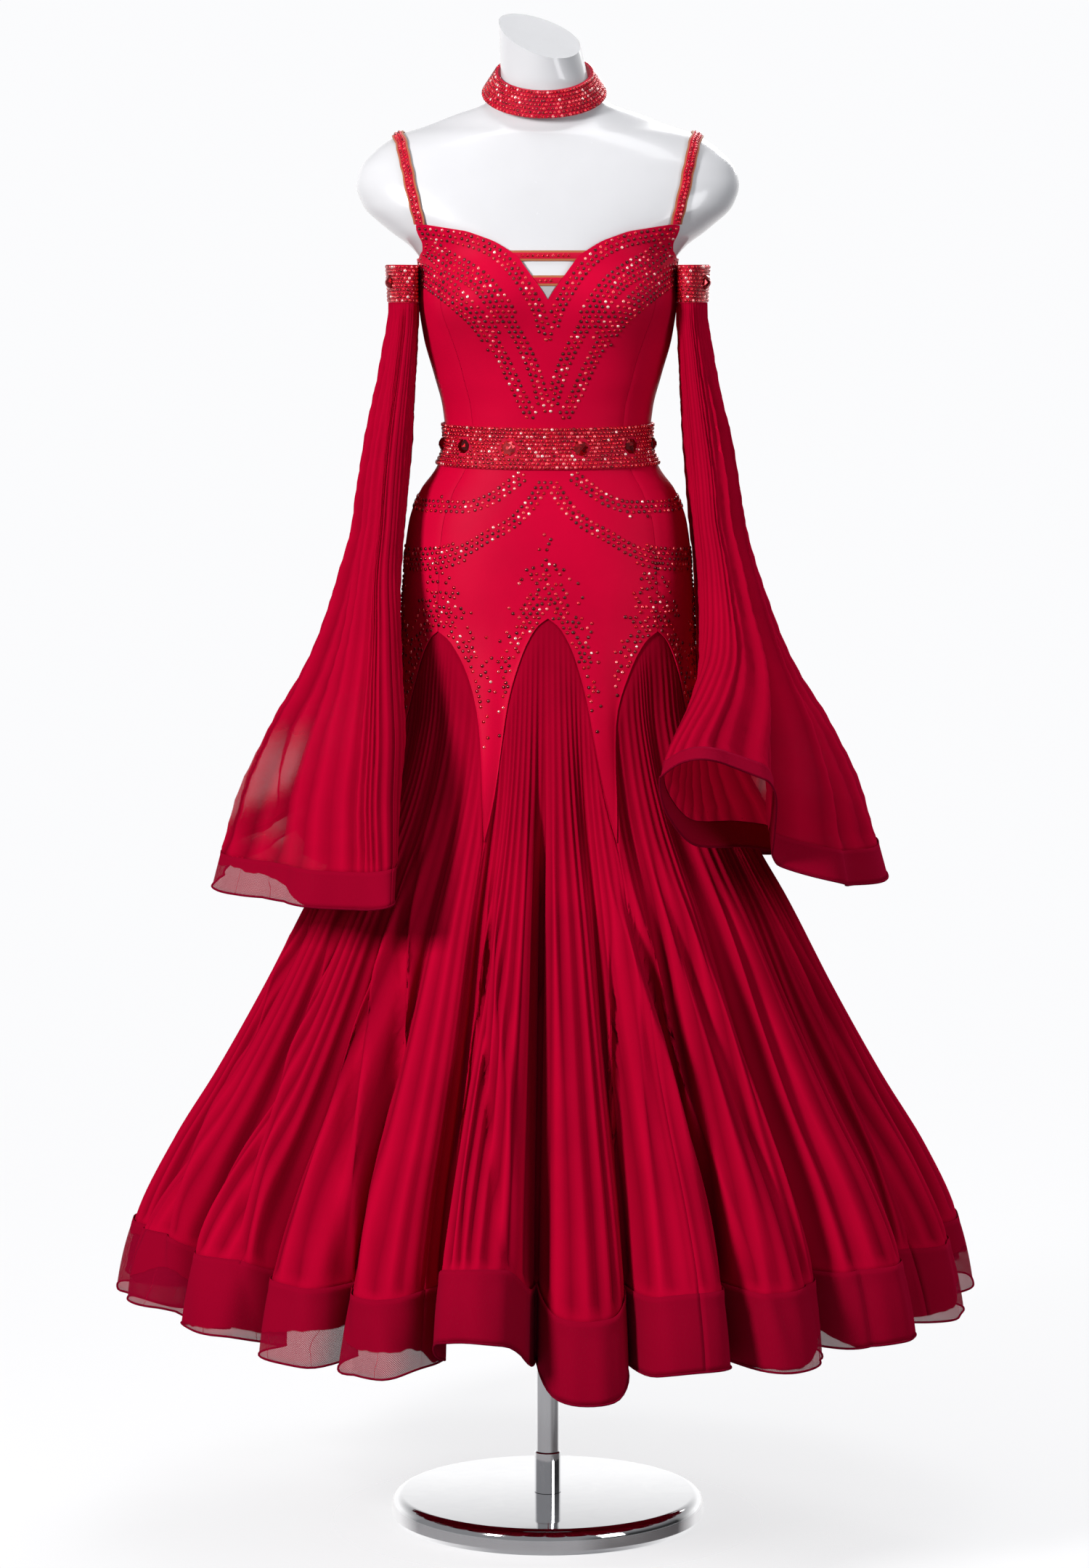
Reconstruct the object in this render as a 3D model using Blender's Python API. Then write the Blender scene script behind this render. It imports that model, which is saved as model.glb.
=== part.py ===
"""Ballroom dance dress on a limbless dress form: every cut piece of the dress is a thin closed wall.

Metres, +Z up, front towards -Y, +X to the right when seen from the front. The origin is the centre of
the stand's underside. Heights are measured from the floor. An angle u runs round the body from the
centre front (0) towards +X.
"""
from collections import namedtuple
from math import cos, pi, radians, sin

import bmesh
import bpy
import numpy as np

# Driving sizes
SEAM_GAP = 0.0004
FORM_EASE = 0.0009
FORM_INSET = 0.0034
FORM_INSET_ABOVE_NECKLINE = 0.012
FORM_INSET_FADE = 0.040
BODICE_WALL = 0.0015
CHIFFON_WALL = 0.0012
NORMAL_STEP = 0.0005
TURN_STEP = 0.004

# Stand
BASE_RADIUS = 0.174
BASE_THICKNESS = 0.028
BASE_EDGE_ROUND = 0.012
BASE_EDGE_STEPS = 4
BASE_FOOT_CHAMFER = 0.006
BASE_SIDES = 48
POLE_RADIUS = 0.0130
SOCKET_RADIUS = 0.0148
SOCKET_HEIGHT = 0.046
POLE_SIDES = 20
NECK_CUT_HEIGHT = 1.640
NECK_CUT_SLOPE_X = -0.30
NECK_CUT_SLOPE_Y = 0.50
NECK_LEAN = -0.12
NECK_LEAN_FROM = 1.566
FORM_SMOOTHING = (1.400, 1.534)
NECK_TOP_ROW = 1.590
FORM_BOTTOM = 0.930
FORM_COLUMNS = 28

# Dress heights
HIP = 1.060
TONGUE_LEVEL = 0.778
TONGUE_TIP = 0.014
SEAM_RADIUS = 0.150
SIDE_SEAM_RADIUS = 0.120
GODET_SIDE_TAPER = 8
HEM = 0.262
HEM_BAND = 0.078
BODICE_ROWS = (0.0, 0.14, 0.28, 0.42, 0.58, 0.78)
HIP_ROWS = (1.1480, 1.1080)
TONGUE_ROWS = 2

# Godets: pleated chiffon panels let into the hip yoke. Each has the angle of its apex, the angle of
# the tongue's tip that follows it, and its apex's height
Godet = namedtuple("Godet", "apex next_tip apex_height")
GODETS = (
    Godet(0.0, 19.5, 1.013),
    Godet(46.5, 67.5, 0.997),
    Godet(90.0, 112.5, 0.995),
    Godet(133.5, 160.5, 0.997),
    Godet(180.0, 199.5, 1.010),
    Godet(226.5, 247.5, 0.997),
    Godet(270.0, 292.5, 0.995),
    Godet(313.5, 340.5, 0.997),
)
GODET_PLEATS = 13
GODET_ROWS = (0.0, 0.12, 0.30, 0.52, 0.76, 1.0)
PLEAT_DEPTH_HIP = 0.0015
PLEAT_DEPTH_HEM = 0.0032
PLEAT_START = 0.05

Ring = namedtuple("Ring", "z half_width front back power set_back", defaults=(0.0,))
# The form's own outline, from its flat underside up to the neck
FIGURE = (
    Ring(0.930, 0.1500, 0.0960, 0.1160, 2.2),
    Ring(1.000, 0.1555, 0.0960, 0.1180, 2.2),
    Ring(1.066, 0.1550, 0.0935, 0.1130, 2.2),
    Ring(1.112, 0.1500, 0.0880, 0.1020, 2.2),
    Ring(1.148, 0.1370, 0.0820, 0.0900, 2.1),
    Ring(1.171, 0.1205, 0.0775, 0.0820, 2.1),
    Ring(1.200, 0.1090, 0.0750, 0.0770, 2.0),
    Ring(1.238, 0.1125, 0.0780, 0.0780, 2.0),
    Ring(1.273, 0.1215, 0.0840, 0.0820, 2.1),
    Ring(1.316, 0.1332, 0.0920, 0.0870, 2.1),
    Ring(1.360, 0.1388, 0.0980, 0.0900, 2.2),
    Ring(1.398, 0.1395, 0.0920, 0.0900, 2.2),
    Ring(1.410, 0.1470, 0.0900, 0.0895, 2.2),
    Ring(1.432, 0.1750, 0.0850, 0.0880, 2.3),
    Ring(1.457, 0.2010, 0.0775, 0.0840, 2.3),
    Ring(1.479, 0.2080, 0.0700, 0.0780, 2.3, 0.002),
    Ring(1.496, 0.2040, 0.0630, 0.0710, 2.3, 0.005),
    Ring(1.516, 0.1880, 0.0540, 0.0640, 2.1, 0.010),
    Ring(1.533, 0.1630, 0.0460, 0.0590, 1.8, 0.016),
    Ring(1.545, 0.1280, 0.0390, 0.0550, 1.6, 0.020),
    Ring(1.556, 0.1000, 0.0370, 0.0500, 1.5, 0.020),
    Ring(1.566, 0.0710, 0.0385, 0.0450, 1.7, 0.016),
    Ring(1.578, 0.0530, 0.0420, 0.0410, 1.9, 0.008),
    Ring(1.600, 0.0460, 0.0480, 0.0380, 2.0),
    Ring(1.680, 0.0430, 0.0540, 0.0340, 2.0),
)
# The dress below the hips, measured to the crests of its folds
SKIRT = (
    Ring(1.040, 0.1600, 0.0980, 0.1190, 2.2),
    Ring(1.000, 0.1615, 0.1010, 0.1230, 2.1),
    Ring(0.950, 0.1660, 0.1090, 0.1300, 2.1),
    Ring(0.900, 0.1745, 0.1220, 0.1410, 2.0),
    Ring(0.850, 0.1880, 0.1400, 0.1560, 2.0),
    Ring(0.800, 0.2080, 0.1640, 0.1770, 2.0),
    Ring(0.750, 0.2350, 0.1960, 0.2060, 2.0),
    Ring(0.700, 0.2640, 0.2300, 0.2370, 2.0),
    Ring(0.600, 0.3150, 0.2920, 0.2960, 2.0),
    Ring(0.500, 0.3700, 0.3500, 0.3520, 2.0),
    Ring(0.420, 0.4180, 0.4010, 0.4000, 2.0),
    Ring(0.350, 0.4500, 0.4420, 0.4360, 2.0),
    Ring(0.280, 0.4680, 0.4680, 0.4600, 2.0),
    Ring(0.220, 0.4760, 0.4780, 0.4700, 2.0),
)
DRESS_SHELL = FORM_EASE + BODICE_WALL
# The dress keeps to the form above this height, over a short fade
FITTED_DOWN_TO = 1.020
FITTED_FADE = 0.050
Cup = namedtuple("Cup", "angle z angle_spread z_spread depth")
CUPS = (Cup(-34, 1.352, 24, 0.040, 0.019), Cup(34, 1.352, 24, 0.040, 0.019))

EdgeRow = namedtuple("EdgeRow", "angle z")
# The bodice's top edge: V and sweetheart neckline, armhole, low back
NECKLINE = (
    EdgeRow(0.0, 1.3560),
    EdgeRow(2.4, 1.3660),
    EdgeRow(13.1, 1.4030),
    EdgeRow(21.2, 1.4190),
    EdgeRow(28.9, 1.4290),
    EdgeRow(39.2, 1.4340),
    EdgeRow(44.0, 1.4360),
    EdgeRow(54.0, 1.4360),
    EdgeRow(63.0, 1.4160),
    EdgeRow(76.0, 1.4000),
    EdgeRow(92.0, 1.3990),
    EdgeRow(112.0, 1.3930),
    EdgeRow(123.5, 1.3780),
    EdgeRow(140.0, 1.3780),
    EdgeRow(152.0, 1.3460),
    EdgeRow(180.0, 1.3200),
)
SeamRow = namedtuple("SeamRow", "share drop")
# A godet's slanting seam: share of the way to the tip round the body, and share of the way down to it
GODET_SEAM = (
    SeamRow(0.00, 0.00),
    SeamRow(0.42, 0.12),
    SeamRow(0.80, 0.42),
    SeamRow(1.00, 1.00),
)
Flute = namedtuple("Flute", "angle depth lift")
# The hem's standing folds, round the body: crest angle, depth of the valley after it, lift of the crest
FLUTES = (
    Flute(-82, 0.060, 0.014),
    Flute(-66, 0.062, 0.026),
    Flute(-50, 0.066, 0.020),
    Flute(-36, 0.058, 0.000),
    Flute(-24, 0.070, -0.006),
    Flute(-9, 0.085, 0.050),
    Flute(5, 0.085, -0.028),
    Flute(19, 0.068, 0.006),
    Flute(34, 0.070, -0.006),
    Flute(52, 0.062, 0.002),
    Flute(72, 0.060, 0.000),
    Flute(90, 0.060, 0.006),
    Flute(106, 0.064, 0.014),
    Flute(121, 0.066, 0.006),
    Flute(137, 0.060, 0.016),
    Flute(152, 0.066, 0.008),
    Flute(168, 0.062, 0.012),
    Flute(184, 0.068, 0.004),
    Flute(199, 0.060, 0.014),
    Flute(215, 0.066, 0.010),
    Flute(231, 0.062, 0.006),
    Flute(246, 0.058, 0.014),
    Flute(262, 0.062, 0.008),
)
FluteRow = namedtuple("FluteRow", "z share")
# How far up the skirt the standing folds reach
FLUTE_REACH = (
    FluteRow(0.22, 1.00),
    FluteRow(0.30, 0.92),
    FluteRow(0.36, 0.76),
    FluteRow(0.50, 0.47),
    FluteRow(0.65, 0.25),
    FluteRow(0.80, 0.10),
    FluteRow(0.92, 0.02),
    FluteRow(1.00, 0.00),
)
FLUTE_ROUNDING = 0.013
FLUTE_SWING = 0.6

# Arm floats: a stoned armlet with a pleated chiffon float hanging from it, on each side
FLOAT_TOP = 1.3520
ARMLET_TOP = 1.3930
FLOAT_HEM = 0.7200
FLOAT_BAND = 0.038
FLOAT_PLEATS = 20
FLOAT_ROWS = (0.0, 0.26, 0.50, 0.68, 0.84, 1.0)
FLOAT_PLEAT_DEPTH = 0.0040
FLOAT_PLEAT_TOP_SHARE = 0.15
FLOAT_ROUNDING = 0.78
FLOAT_SIDE_GAP = 0.012
FLOAT_PLEAT_START = 0.06
FLOAT_PLEAT_FADE = 0.7
FLOAT_TURN_STEP = 0.02
HEM_RISE_POWER = 3
HEM_PUSH_POWER = 5
ARMLET_COLUMNS = 28
ARMLET_WALL = 0.0022
FloatRow = namedtuple("FloatRow", "z inner outer left_front right_front back")
# The float's inner and outer distance from the body's axis, and its reach round the body in degrees:
# forward on the left and on the right, and backward
FLOAT = (
    FloatRow(1.400, 0.1422, 0.1765, 20, 20, 20),
    FloatRow(1.352, 0.1422, 0.1740, 20, 20, 20),
    FloatRow(1.288, 0.1450, 0.1830, 21, 21, 21),
    FloatRow(1.225, 0.1490, 0.1955, 22, 22, 22),
    FloatRow(1.162, 0.1540, 0.2070, 24, 23, 23),
    FloatRow(1.112, 0.1600, 0.2140, 26, 25, 24),
    FloatRow(1.068, 0.1650, 0.2260, 29, 27, 26),
    FloatRow(1.004, 0.1700, 0.2470, 36, 32, 30),
    FloatRow(0.941, 0.1765, 0.2760, 43, 40, 35),
    FloatRow(0.890, 0.1870, 0.3080, 49, 50, 41),
    FloatRow(0.820, 0.2150, 0.3410, 54, 61, 48),
    FloatRow(0.770, 0.2420, 0.3560, 57, 66, 53),
    FloatRow(0.700, 0.2800, 0.3740, 60, 70, 57),
)
FloatHem = namedtuple("FloatHem", "around rise push")
# Round a float from its front fold (0) over the outside (90) and the back fold (180): how much the hem
# rises, and how far it swings outwards
FLOAT_HEM_LEFT = (
    FloatHem(0, 0.006, 0.004),
    FloatHem(35, 0.000, -0.012),
    FloatHem(60, 0.004, 0.006),
    FloatHem(90, 0.000, 0.000),
    FloatHem(120, 0.030, -0.016),
    FloatHem(150, 0.070, 0.004),
    FloatHem(180, 0.090, 0.000),
    FloatHem(225, 0.080, 0.002),
    FloatHem(270, 0.050, 0.003),
    FloatHem(315, 0.020, 0.002),
    FloatHem(360, 0.006, 0.004),
)
FLOAT_HEM_RIGHT = (
    FloatHem(0, 0.150, 0.055),
    FloatHem(22, 0.172, 0.060),
    FloatHem(42, 0.146, 0.036),
    FloatHem(58, 0.040, -0.006),
    FloatHem(76, 0.010, 0.000),
    FloatHem(90, 0.004, 0.002),
    FloatHem(120, 0.006, -0.016),
    FloatHem(150, 0.012, 0.004),
    FloatHem(180, 0.014, 0.000),
    FloatHem(225, 0.006, 0.002),
    FloatHem(262, 0.018, 0.003),
    FloatHem(300, 0.056, 0.003),
    FloatHem(322, 0.066, 0.012),
    FloatHem(342, 0.104, 0.036),
    FloatHem(360, 0.150, 0.055),
)

# Belt, choker, straps and the two bars across the V
BELT_HEIGHT = 0.045
BELT_CENTRE = 1.1990
BELT_TILT = 0.0030
BELT_WALL = 0.0025
BELT_EASE = 0.0004
BELT_LEVELS = (0.5, 0.16, 0.0, -0.16, -0.5)
BELT_GEM_ANGLES = (18, 52, 85, 117, 149, 180, 211, 243, 275, 307, 338)
GEM_HEIGHT = 0.0040
CHOKER_HEIGHT = 0.025
CHOKER_CENTRE = (-0.004, 0.006, 1.5895)
CHOKER_TILT = 25
CHOKER_TOP_RADIUS = 0.0500
CHOKER_BOTTOM_RADIUS = 0.0650
CHOKER_WALL = 0.0025
CHOKER_COLUMNS = 32
STRAP_WIDTH = 0.0130
STRAP_WALL = 0.0022
STRAP_EASE = 0.0006
BAR_HEIGHT = 0.0110
BAR_CENTRES = (1.4030, 1.3765)
BAR_COLUMNS = 7
BAR_SIDE_GAP = 0.0032
StrapRow = namedtuple("StrapRow", "x z")
# A strap's middle line up the front of the shoulder, seen from the front
STRAP_FRONT = (
    StrapRow(0.1370, 1.4366),
    StrapRow(0.1395, 1.4470),
    StrapRow(0.1440, 1.4650),
    StrapRow(0.1490, 1.4860),
    StrapRow(0.1530, 1.5020),
    StrapRow(0.1562, 1.5150),
    StrapRow(0.1585, 1.5250),
)
STRAP_TOP = 1.5332
# And down the back: angle from the centre front, and height
STRAP_BACK = (
    EdgeRow(110, 1.5290),
    EdgeRow(122, 1.5150),
    EdgeRow(129, 1.4950),
    EdgeRow(132, 1.4700),
    EdgeRow(132, 1.4450),
    EdgeRow(132, 1.4200),
    EdgeRow(132, 1.3984),
    EdgeRow(132, 1.3786),
)
STRAP_ROWS = 24
ANGLE_SAMPLES = 181

Paint = namedtuple("Paint", "name colour metallic roughness")
CREPE = Paint("red_stretch_crepe", (0.55, 0.004, 0.03), 0.0, 0.5)
CHIFFON = Paint("red_pleated_chiffon", (0.62, 0.004, 0.035), 0.0, 0.55)
CRIN = Paint("red_crin_braid", (0.55, 0.006, 0.05), 0.0, 0.5)
STONED = Paint("red_stoned_band", (0.5, 0.003, 0.02), 0.2, 0.25)
WHITE = Paint("white_gloss_form", (0.86, 0.87, 0.89), 0.0, 0.25)
CHROME = Paint("polished_chrome", (0.8, 0.8, 0.82), 1.0, 0.06)


def clear_scene():
    for old in list(bpy.data.objects):
        bpy.data.objects.remove(old, do_unlink=True)


def material(paint):
    found = bpy.data.materials.get(paint.name)
    if found:
        return found
    made = bpy.data.materials.new(paint.name)
    made.use_nodes = True
    shader = made.node_tree.nodes["Principled BSDF"]
    shader.inputs["Base Color"].default_value = (*paint.colour, 1.0)
    shader.inputs["Metallic"].default_value = paint.metallic
    shader.inputs["Roughness"].default_value = paint.roughness
    return made


def add_mesh(name, points, faces, paint):
    """A named object from points and faces, turned so that its faces point out."""
    mesh = bpy.data.meshes.new(name)
    mesh.from_pydata([tuple(p) for p in points], [], faces)
    work = bmesh.new()
    work.from_mesh(mesh)
    bmesh.ops.triangulate(work, faces=work.faces)
    bmesh.ops.recalc_face_normals(work, faces=work.faces)
    if work.calc_volume(signed=True) < 0:
        bmesh.ops.reverse_faces(work, faces=work.faces)
    work.to_mesh(mesh)
    work.free()
    mesh.shade_smooth()
    mesh.set_sharp_from_angle(angle=radians(35))
    mesh.materials.append(material(paint))
    bpy.context.scene.collection.objects.link(bpy.data.objects.new(name, mesh))


def curve_through(x, xs, values):
    """A smooth curve through a short table, with slopes limited so that it never overshoots."""
    xs, values = np.asarray(xs, float), np.asarray(values, float)
    steps = np.diff(xs)
    slopes = np.diff(values) / steps
    inner = np.where(
        slopes[:-1] * slopes[1:] > 0,
        2 * slopes[:-1] * slopes[1:] / (slopes[:-1] + slopes[1:] + 1e-12 * np.sign(slopes[1:] + 1e-30)),
        0.0,
    )
    tangents = np.concatenate([[slopes[0]], inner, [slopes[-1]]])
    x = np.clip(x, xs[0], xs[-1])
    i = np.clip(np.searchsorted(xs, x, side="right") - 1, 0, len(steps) - 1)
    t = (x - xs[i]) / steps[i]
    return (
        values[i] * (1 + 2 * t) * (1 - t) ** 2
        + tangents[i] * steps[i] * t * (1 - t) ** 2
        + values[i + 1] * t * t * (3 - 2 * t)
        + tangents[i + 1] * steps[i] * t * t * (t - 1)
    )


def column_of(rows, name):
    return [getattr(row, name) for row in rows]


def ring_values(rows, z):
    """Half width, front depth, back depth and power of a table of rings at heights z."""
    rising = sorted(rows, key=lambda row: row.z)
    heights = column_of(rising, "z")
    return [curve_through(z, heights, column_of(rising, name)) for name in Ring._fields[1:]]


def ring_point(u, z, values):
    """A point on a ring whose front and back depths differ, rounded by its power."""
    half_width, front, back, power, set_back = values
    across, along = np.sin(u), np.cos(u)
    squareness = (np.abs(across) ** power + np.abs(along) ** power) ** (-1 / power)
    x = half_width * across * squareness + NECK_LEAN * np.maximum(z - NECK_LEAN_FROM, 0)
    y = -np.where(along > 0, front, back) * along * squareness + set_back * across ** 2
    return np.stack([x, y, z + 0 * x], axis=-1)


def cup_swell(u, z):
    """How far the bust cups swell outwards at an angle and height."""
    swell = 0.0
    for cup in CUPS:
        turn = (np.degrees(u) - cup.angle + 180) % 360 - 180
        swell = swell + cup.depth * np.exp(
            -((turn / cup.angle_spread) ** 2) - ((z - cup.z) / cup.z_spread) ** 2
        )
    return swell


def outward(u, z):
    """Level unit vectors away from the axis."""
    return np.stack([np.sin(u), -np.cos(u), 0 * u], axis=-1) * np.ones_like(z)[..., None]


def figure_surface(u, z):
    """The dress form's own skin."""
    return ring_point(u, z, ring_values(FIGURE, z)) + outward(u, z) * cup_swell(u, z)[..., None]


def flute_phase(u):
    """Turns counted from one standing fold's crest to the next."""
    crests = np.array(column_of(FLUTES, "angle"), float)
    wrapped = np.concatenate([crests, [crests[0] + 360]])
    degrees = (np.degrees(u) - crests[0]) % 360 + crests[0]
    return np.interp(degrees, wrapped, np.arange(len(wrapped)))


def flute_value(phase, name):
    values = column_of(FLUTES, name)
    return curve_through(phase % len(values), np.arange(len(values) + 1), values + values[:1])


def flute_share(z):
    return curve_through(z, column_of(FLUTE_REACH, "z"), column_of(FLUTE_REACH, "share"))


def dress_surface(u, z):
    """The outer face of the dress: the form's shape above the hips, standing folds near the hem."""
    body = ring_values(FIGURE, z)
    skirt = ring_values(SKIRT, z)
    fitted = np.clip((z - FITTED_DOWN_TO) / FITTED_FADE, 0, 1)
    fitted = fitted * fitted * (3 - 2 * fitted)
    eased = [v + DRESS_SHELL for v in body[:3]] + body[3:]
    mixed = [fitted * b + (1 - fitted) * s for b, s in zip(eased, skirt)]
    phase = flute_phase(u)
    share = flute_share(z)
    turn = 2 * pi * phase
    shifted = u + share * FLUTE_ROUNDING * np.sin(turn) / mixed[0]
    valley = flute_value(phase, "depth") * share * (0.5 - 0.5 * np.cos(turn))
    crest_rise = flute_value(phase, "lift") * share ** 2 * (0.5 + 0.5 * np.cos(turn))
    point = ring_point(shifted, z, mixed)
    point = point + outward(shifted, z) * (cup_swell(u, z) - valley + FLUTE_SWING * crest_rise)[..., None]
    point[..., 2] += crest_rise
    return point


def surface_normals(surface, u, z, turn_step=TURN_STEP):
    """Outward unit normals of a surface given by a function of an angle and a height."""
    around = surface(u + turn_step, z) - surface(u - turn_step, z)
    upward = surface(u, z + NORMAL_STEP) - surface(u, z - NORMAL_STEP)
    normal = np.cross(around, upward)
    return normal / np.linalg.norm(normal, axis=-1, keepdims=True)


def grid_faces(rows, columns, closed):
    """Quads of a grid of rows by columns, whose last column meets its first where it is closed."""
    span = columns if closed else columns - 1
    return [
        (r * columns + c, r * columns + (c + 1) % columns,
         (r + 1) * columns + (c + 1) % columns, (r + 1) * columns + c)
        for r in range(rows - 1)
        for c in range(span)
    ]


def wall(name, outer, inner, closed, paint):
    """A closed thin solid between two grids of points of the same shape."""
    rows, columns = outer.shape[:2]
    count = rows * columns
    faces = grid_faces(rows, columns, closed)
    faces += [tuple(count + i for i in reversed(face)) for face in faces]
    span = columns if closed else columns - 1
    for c in range(span):
        d = (c + 1) % columns
        faces.append((d, c, count + c, count + d))
        low = (rows - 1) * columns
        faces.append((low + c, low + d, count + low + d, count + low + c))
    if not closed:
        for r in range(rows - 1):
            left, below = r * columns, (r + 1) * columns
            faces.append((left, below, count + below, count + left))
            right, right_below = left + columns - 1, below + columns - 1
            faces.append((right_below, right, count + right, count + right_below))
    points = np.concatenate([outer.reshape(-1, 3), inner.reshape(-1, 3)])
    add_mesh(name, points, faces, paint)


def cloth(name, u, z, thickness, paint, raise_by=0.0):
    """A wall of cloth whose outer face is the dress's surface, raised by pleats."""
    normals = surface_normals(dress_surface, u, z)
    outer = dress_surface(u, z) + normals * np.broadcast_to(raise_by, u.shape)[..., None]
    wall(name, outer, outer - normals * thickness, False, paint)


def turned(name, profile, sides, paint):
    """A solid turned round a vertical axis from (radius, height) points, lowest first."""
    angles = [2 * pi * i / sides for i in range(sides)]
    points = [
        (radius * cos(a), radius * sin(a), height)
        for radius, height in profile
        for a in angles
    ]
    faces = grid_faces(len(profile), sides, True)
    last = (len(profile) - 1) * sides
    faces.append(tuple(range(sides)))
    faces.append(tuple(last + i for i in reversed(range(sides))))
    add_mesh(name, points, faces, paint)


def build_stand():
    """Round chrome base, its socket tube and the pole up to the form's underside."""
    quarter = [pi / 2 * i / BASE_EDGE_STEPS for i in range(BASE_EDGE_STEPS + 1)]
    edge = [
        (BASE_RADIUS - BASE_EDGE_ROUND * (1 - cos(turn)), BASE_THICKNESS - BASE_EDGE_ROUND * (1 - sin(turn)))
        for turn in quarter
    ]
    foot = [(BASE_RADIUS - BASE_FOOT_CHAMFER, 0.0), (BASE_RADIUS, BASE_FOOT_CHAMFER)]
    turned("form_base", foot + edge, BASE_SIDES, CHROME)
    socket_foot = BASE_THICKNESS + SEAM_GAP
    socket_top = socket_foot + SOCKET_HEIGHT
    turned("form_pole_socket",
           [(SOCKET_RADIUS, socket_foot), (SOCKET_RADIUS, socket_top)],
           POLE_SIDES, CHROME)
    turned("form_pole",
           [(POLE_RADIUS, socket_top + SEAM_GAP), (POLE_RADIUS, FORM_BOTTOM - SEAM_GAP)],
           POLE_SIDES, CHROME)


def build_form():
    """The smooth white torso, closed below and cut off on a slant at the neck."""
    heights = [row.z for row in FIGURE[:-2]] + [NECK_TOP_ROW]
    low, high = FORM_SMOOTHING
    heights += [(a + b) / 2 for a, b in zip(heights, heights[1:]) if low < b < high]
    heights.sort()
    angles = np.linspace(0, 2 * pi, FORM_COLUMNS, endpoint=False)
    u, z = np.meshgrid(angles, np.array(heights))
    below = np.clip((neckline(u) + FORM_INSET_ABOVE_NECKLINE - z) / FORM_INSET_FADE, 0, 1)
    body = figure_surface(u, z) - surface_normals(figure_surface, u, z) * (FORM_INSET * below)[..., None]
    neck = figure_surface(angles[None, :], np.full((1, FORM_COLUMNS), NECK_CUT_HEIGHT))
    neck[..., 2] = NECK_CUT_HEIGHT + NECK_CUT_SLOPE_X * neck[..., 0] + NECK_CUT_SLOPE_Y * neck[..., 1]
    grid = np.concatenate([body, neck])
    rows = grid.shape[0]
    faces = grid_faces(rows, FORM_COLUMNS, True)
    faces.append(tuple(reversed(range(FORM_COLUMNS))))
    last = (rows - 1) * FORM_COLUMNS
    faces.append(tuple(last + i for i in range(FORM_COLUMNS)))
    add_mesh("form_torso", grid.reshape(-1, 3), faces, WHITE)


def apex_angle(k):
    return radians(GODETS[k % len(GODETS)].apex + 360 * (k // len(GODETS)))


def tip_angle(k):
    return radians(GODETS[k % len(GODETS)].next_tip + 360 * (k // len(GODETS)))


def seam_height(k, share):
    """Height of godet k's seam, its share counted from the apex to a tongue's tip."""
    apex = GODETS[k % len(GODETS)].apex_height
    drop = np.interp(share, column_of(GODET_SEAM, "share"), column_of(GODET_SEAM, "drop"))
    return apex + (TONGUE_LEVEL - apex) * drop


def seam_clearance(share):
    """Height that opens half a seam gap, measured across the slanting seam."""
    shares, drops = column_of(GODET_SEAM, "share"), column_of(GODET_SEAM, "drop")
    fall = (GODETS[0].apex_height - TONGUE_LEVEL) / (pi / len(GODETS) * SEAM_RADIUS)
    slopes = np.diff(drops) / np.diff(shares) * fall
    steepest = np.maximum(np.append(slopes, slopes[-1]), np.append(slopes[0], slopes))
    return 0.5 * SEAM_GAP * np.sqrt(1 + np.interp(share, shares, steepest) ** 2)


def neckline(u):
    """Height of the bodice's top edge at an angle, alike on both sides."""
    folded = np.abs((np.degrees(u) + 180) % 360 - 180)
    return np.interp(folded, column_of(NECKLINE, "angle"), column_of(NECKLINE, "z"))


def belt_edge(u, level):
    """Height of a line round the belt: 0.5 is its top edge and -0.5 its lower edge."""
    return BELT_CENTRE + level * BELT_HEIGHT - BELT_TILT * np.cos(u)


def panel_columns(first, last):
    """Angle, seam share and seam height of a fitted panel's columns, from the apex of one godet to the
    apex of another."""
    columns = []
    for k in range(first, last):
        start, tip, end = apex_angle(k), tip_angle(k), apex_angle(k + 1)
        for row in GODET_SEAM:
            columns.append((start + (tip - start) * row.share, row.share, seam_height(k, row.share)))
        for row in reversed(GODET_SEAM[:-1]):
            columns.append((end + (tip - end) * row.share, row.share, seam_height(k + 1, row.share)))
        if k < last - 1:
            columns.pop()
    return [np.array(values) for values in zip(*columns)]


def build_panel(name, first, last):
    """A fitted panel of stretch crepe from the neckline to its pointed tongues. Its lower edge keeps
    clear of the godets, and its sides keep clear of the next panel."""
    angles, shares, seam = panel_columns(first, last)
    side_gap = 0.5 * SEAM_GAP / SIDE_SEAM_RADIUS
    angles[0] += side_gap
    angles[-1] -= side_gap
    top = neckline(angles)
    lower = seam + seam_clearance(shares)
    lower = np.where(shares == 1.0, TONGUE_LEVEL + TONGUE_TIP, lower)
    belt_top, belt_middle, belt_low = (belt_edge(angles, level) for level in (0.5, 0.0, -0.5))
    heights = [top + (belt_top - top) * share for share in BODICE_ROWS]
    heights += [belt_top, belt_middle, belt_low]
    heights += [level + 0 * top for level in HIP_ROWS]
    heights += [HIP + (lower - HIP) * i / TONGUE_ROWS for i in range(TONGUE_ROWS + 1)]
    z = np.array(heights)
    u = np.broadcast_to(angles, z.shape)
    cloth(name, u, z, BODICE_WALL, CREPE)


def zigzag(columns):
    """Minus and plus one by turns, ending on zero so that neighbouring panels meet level."""
    wave = np.where(np.arange(columns) % 2 == 0, -1.0, 1.0)
    wave[0] = wave[-1] = 0.0
    return wave


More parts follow.
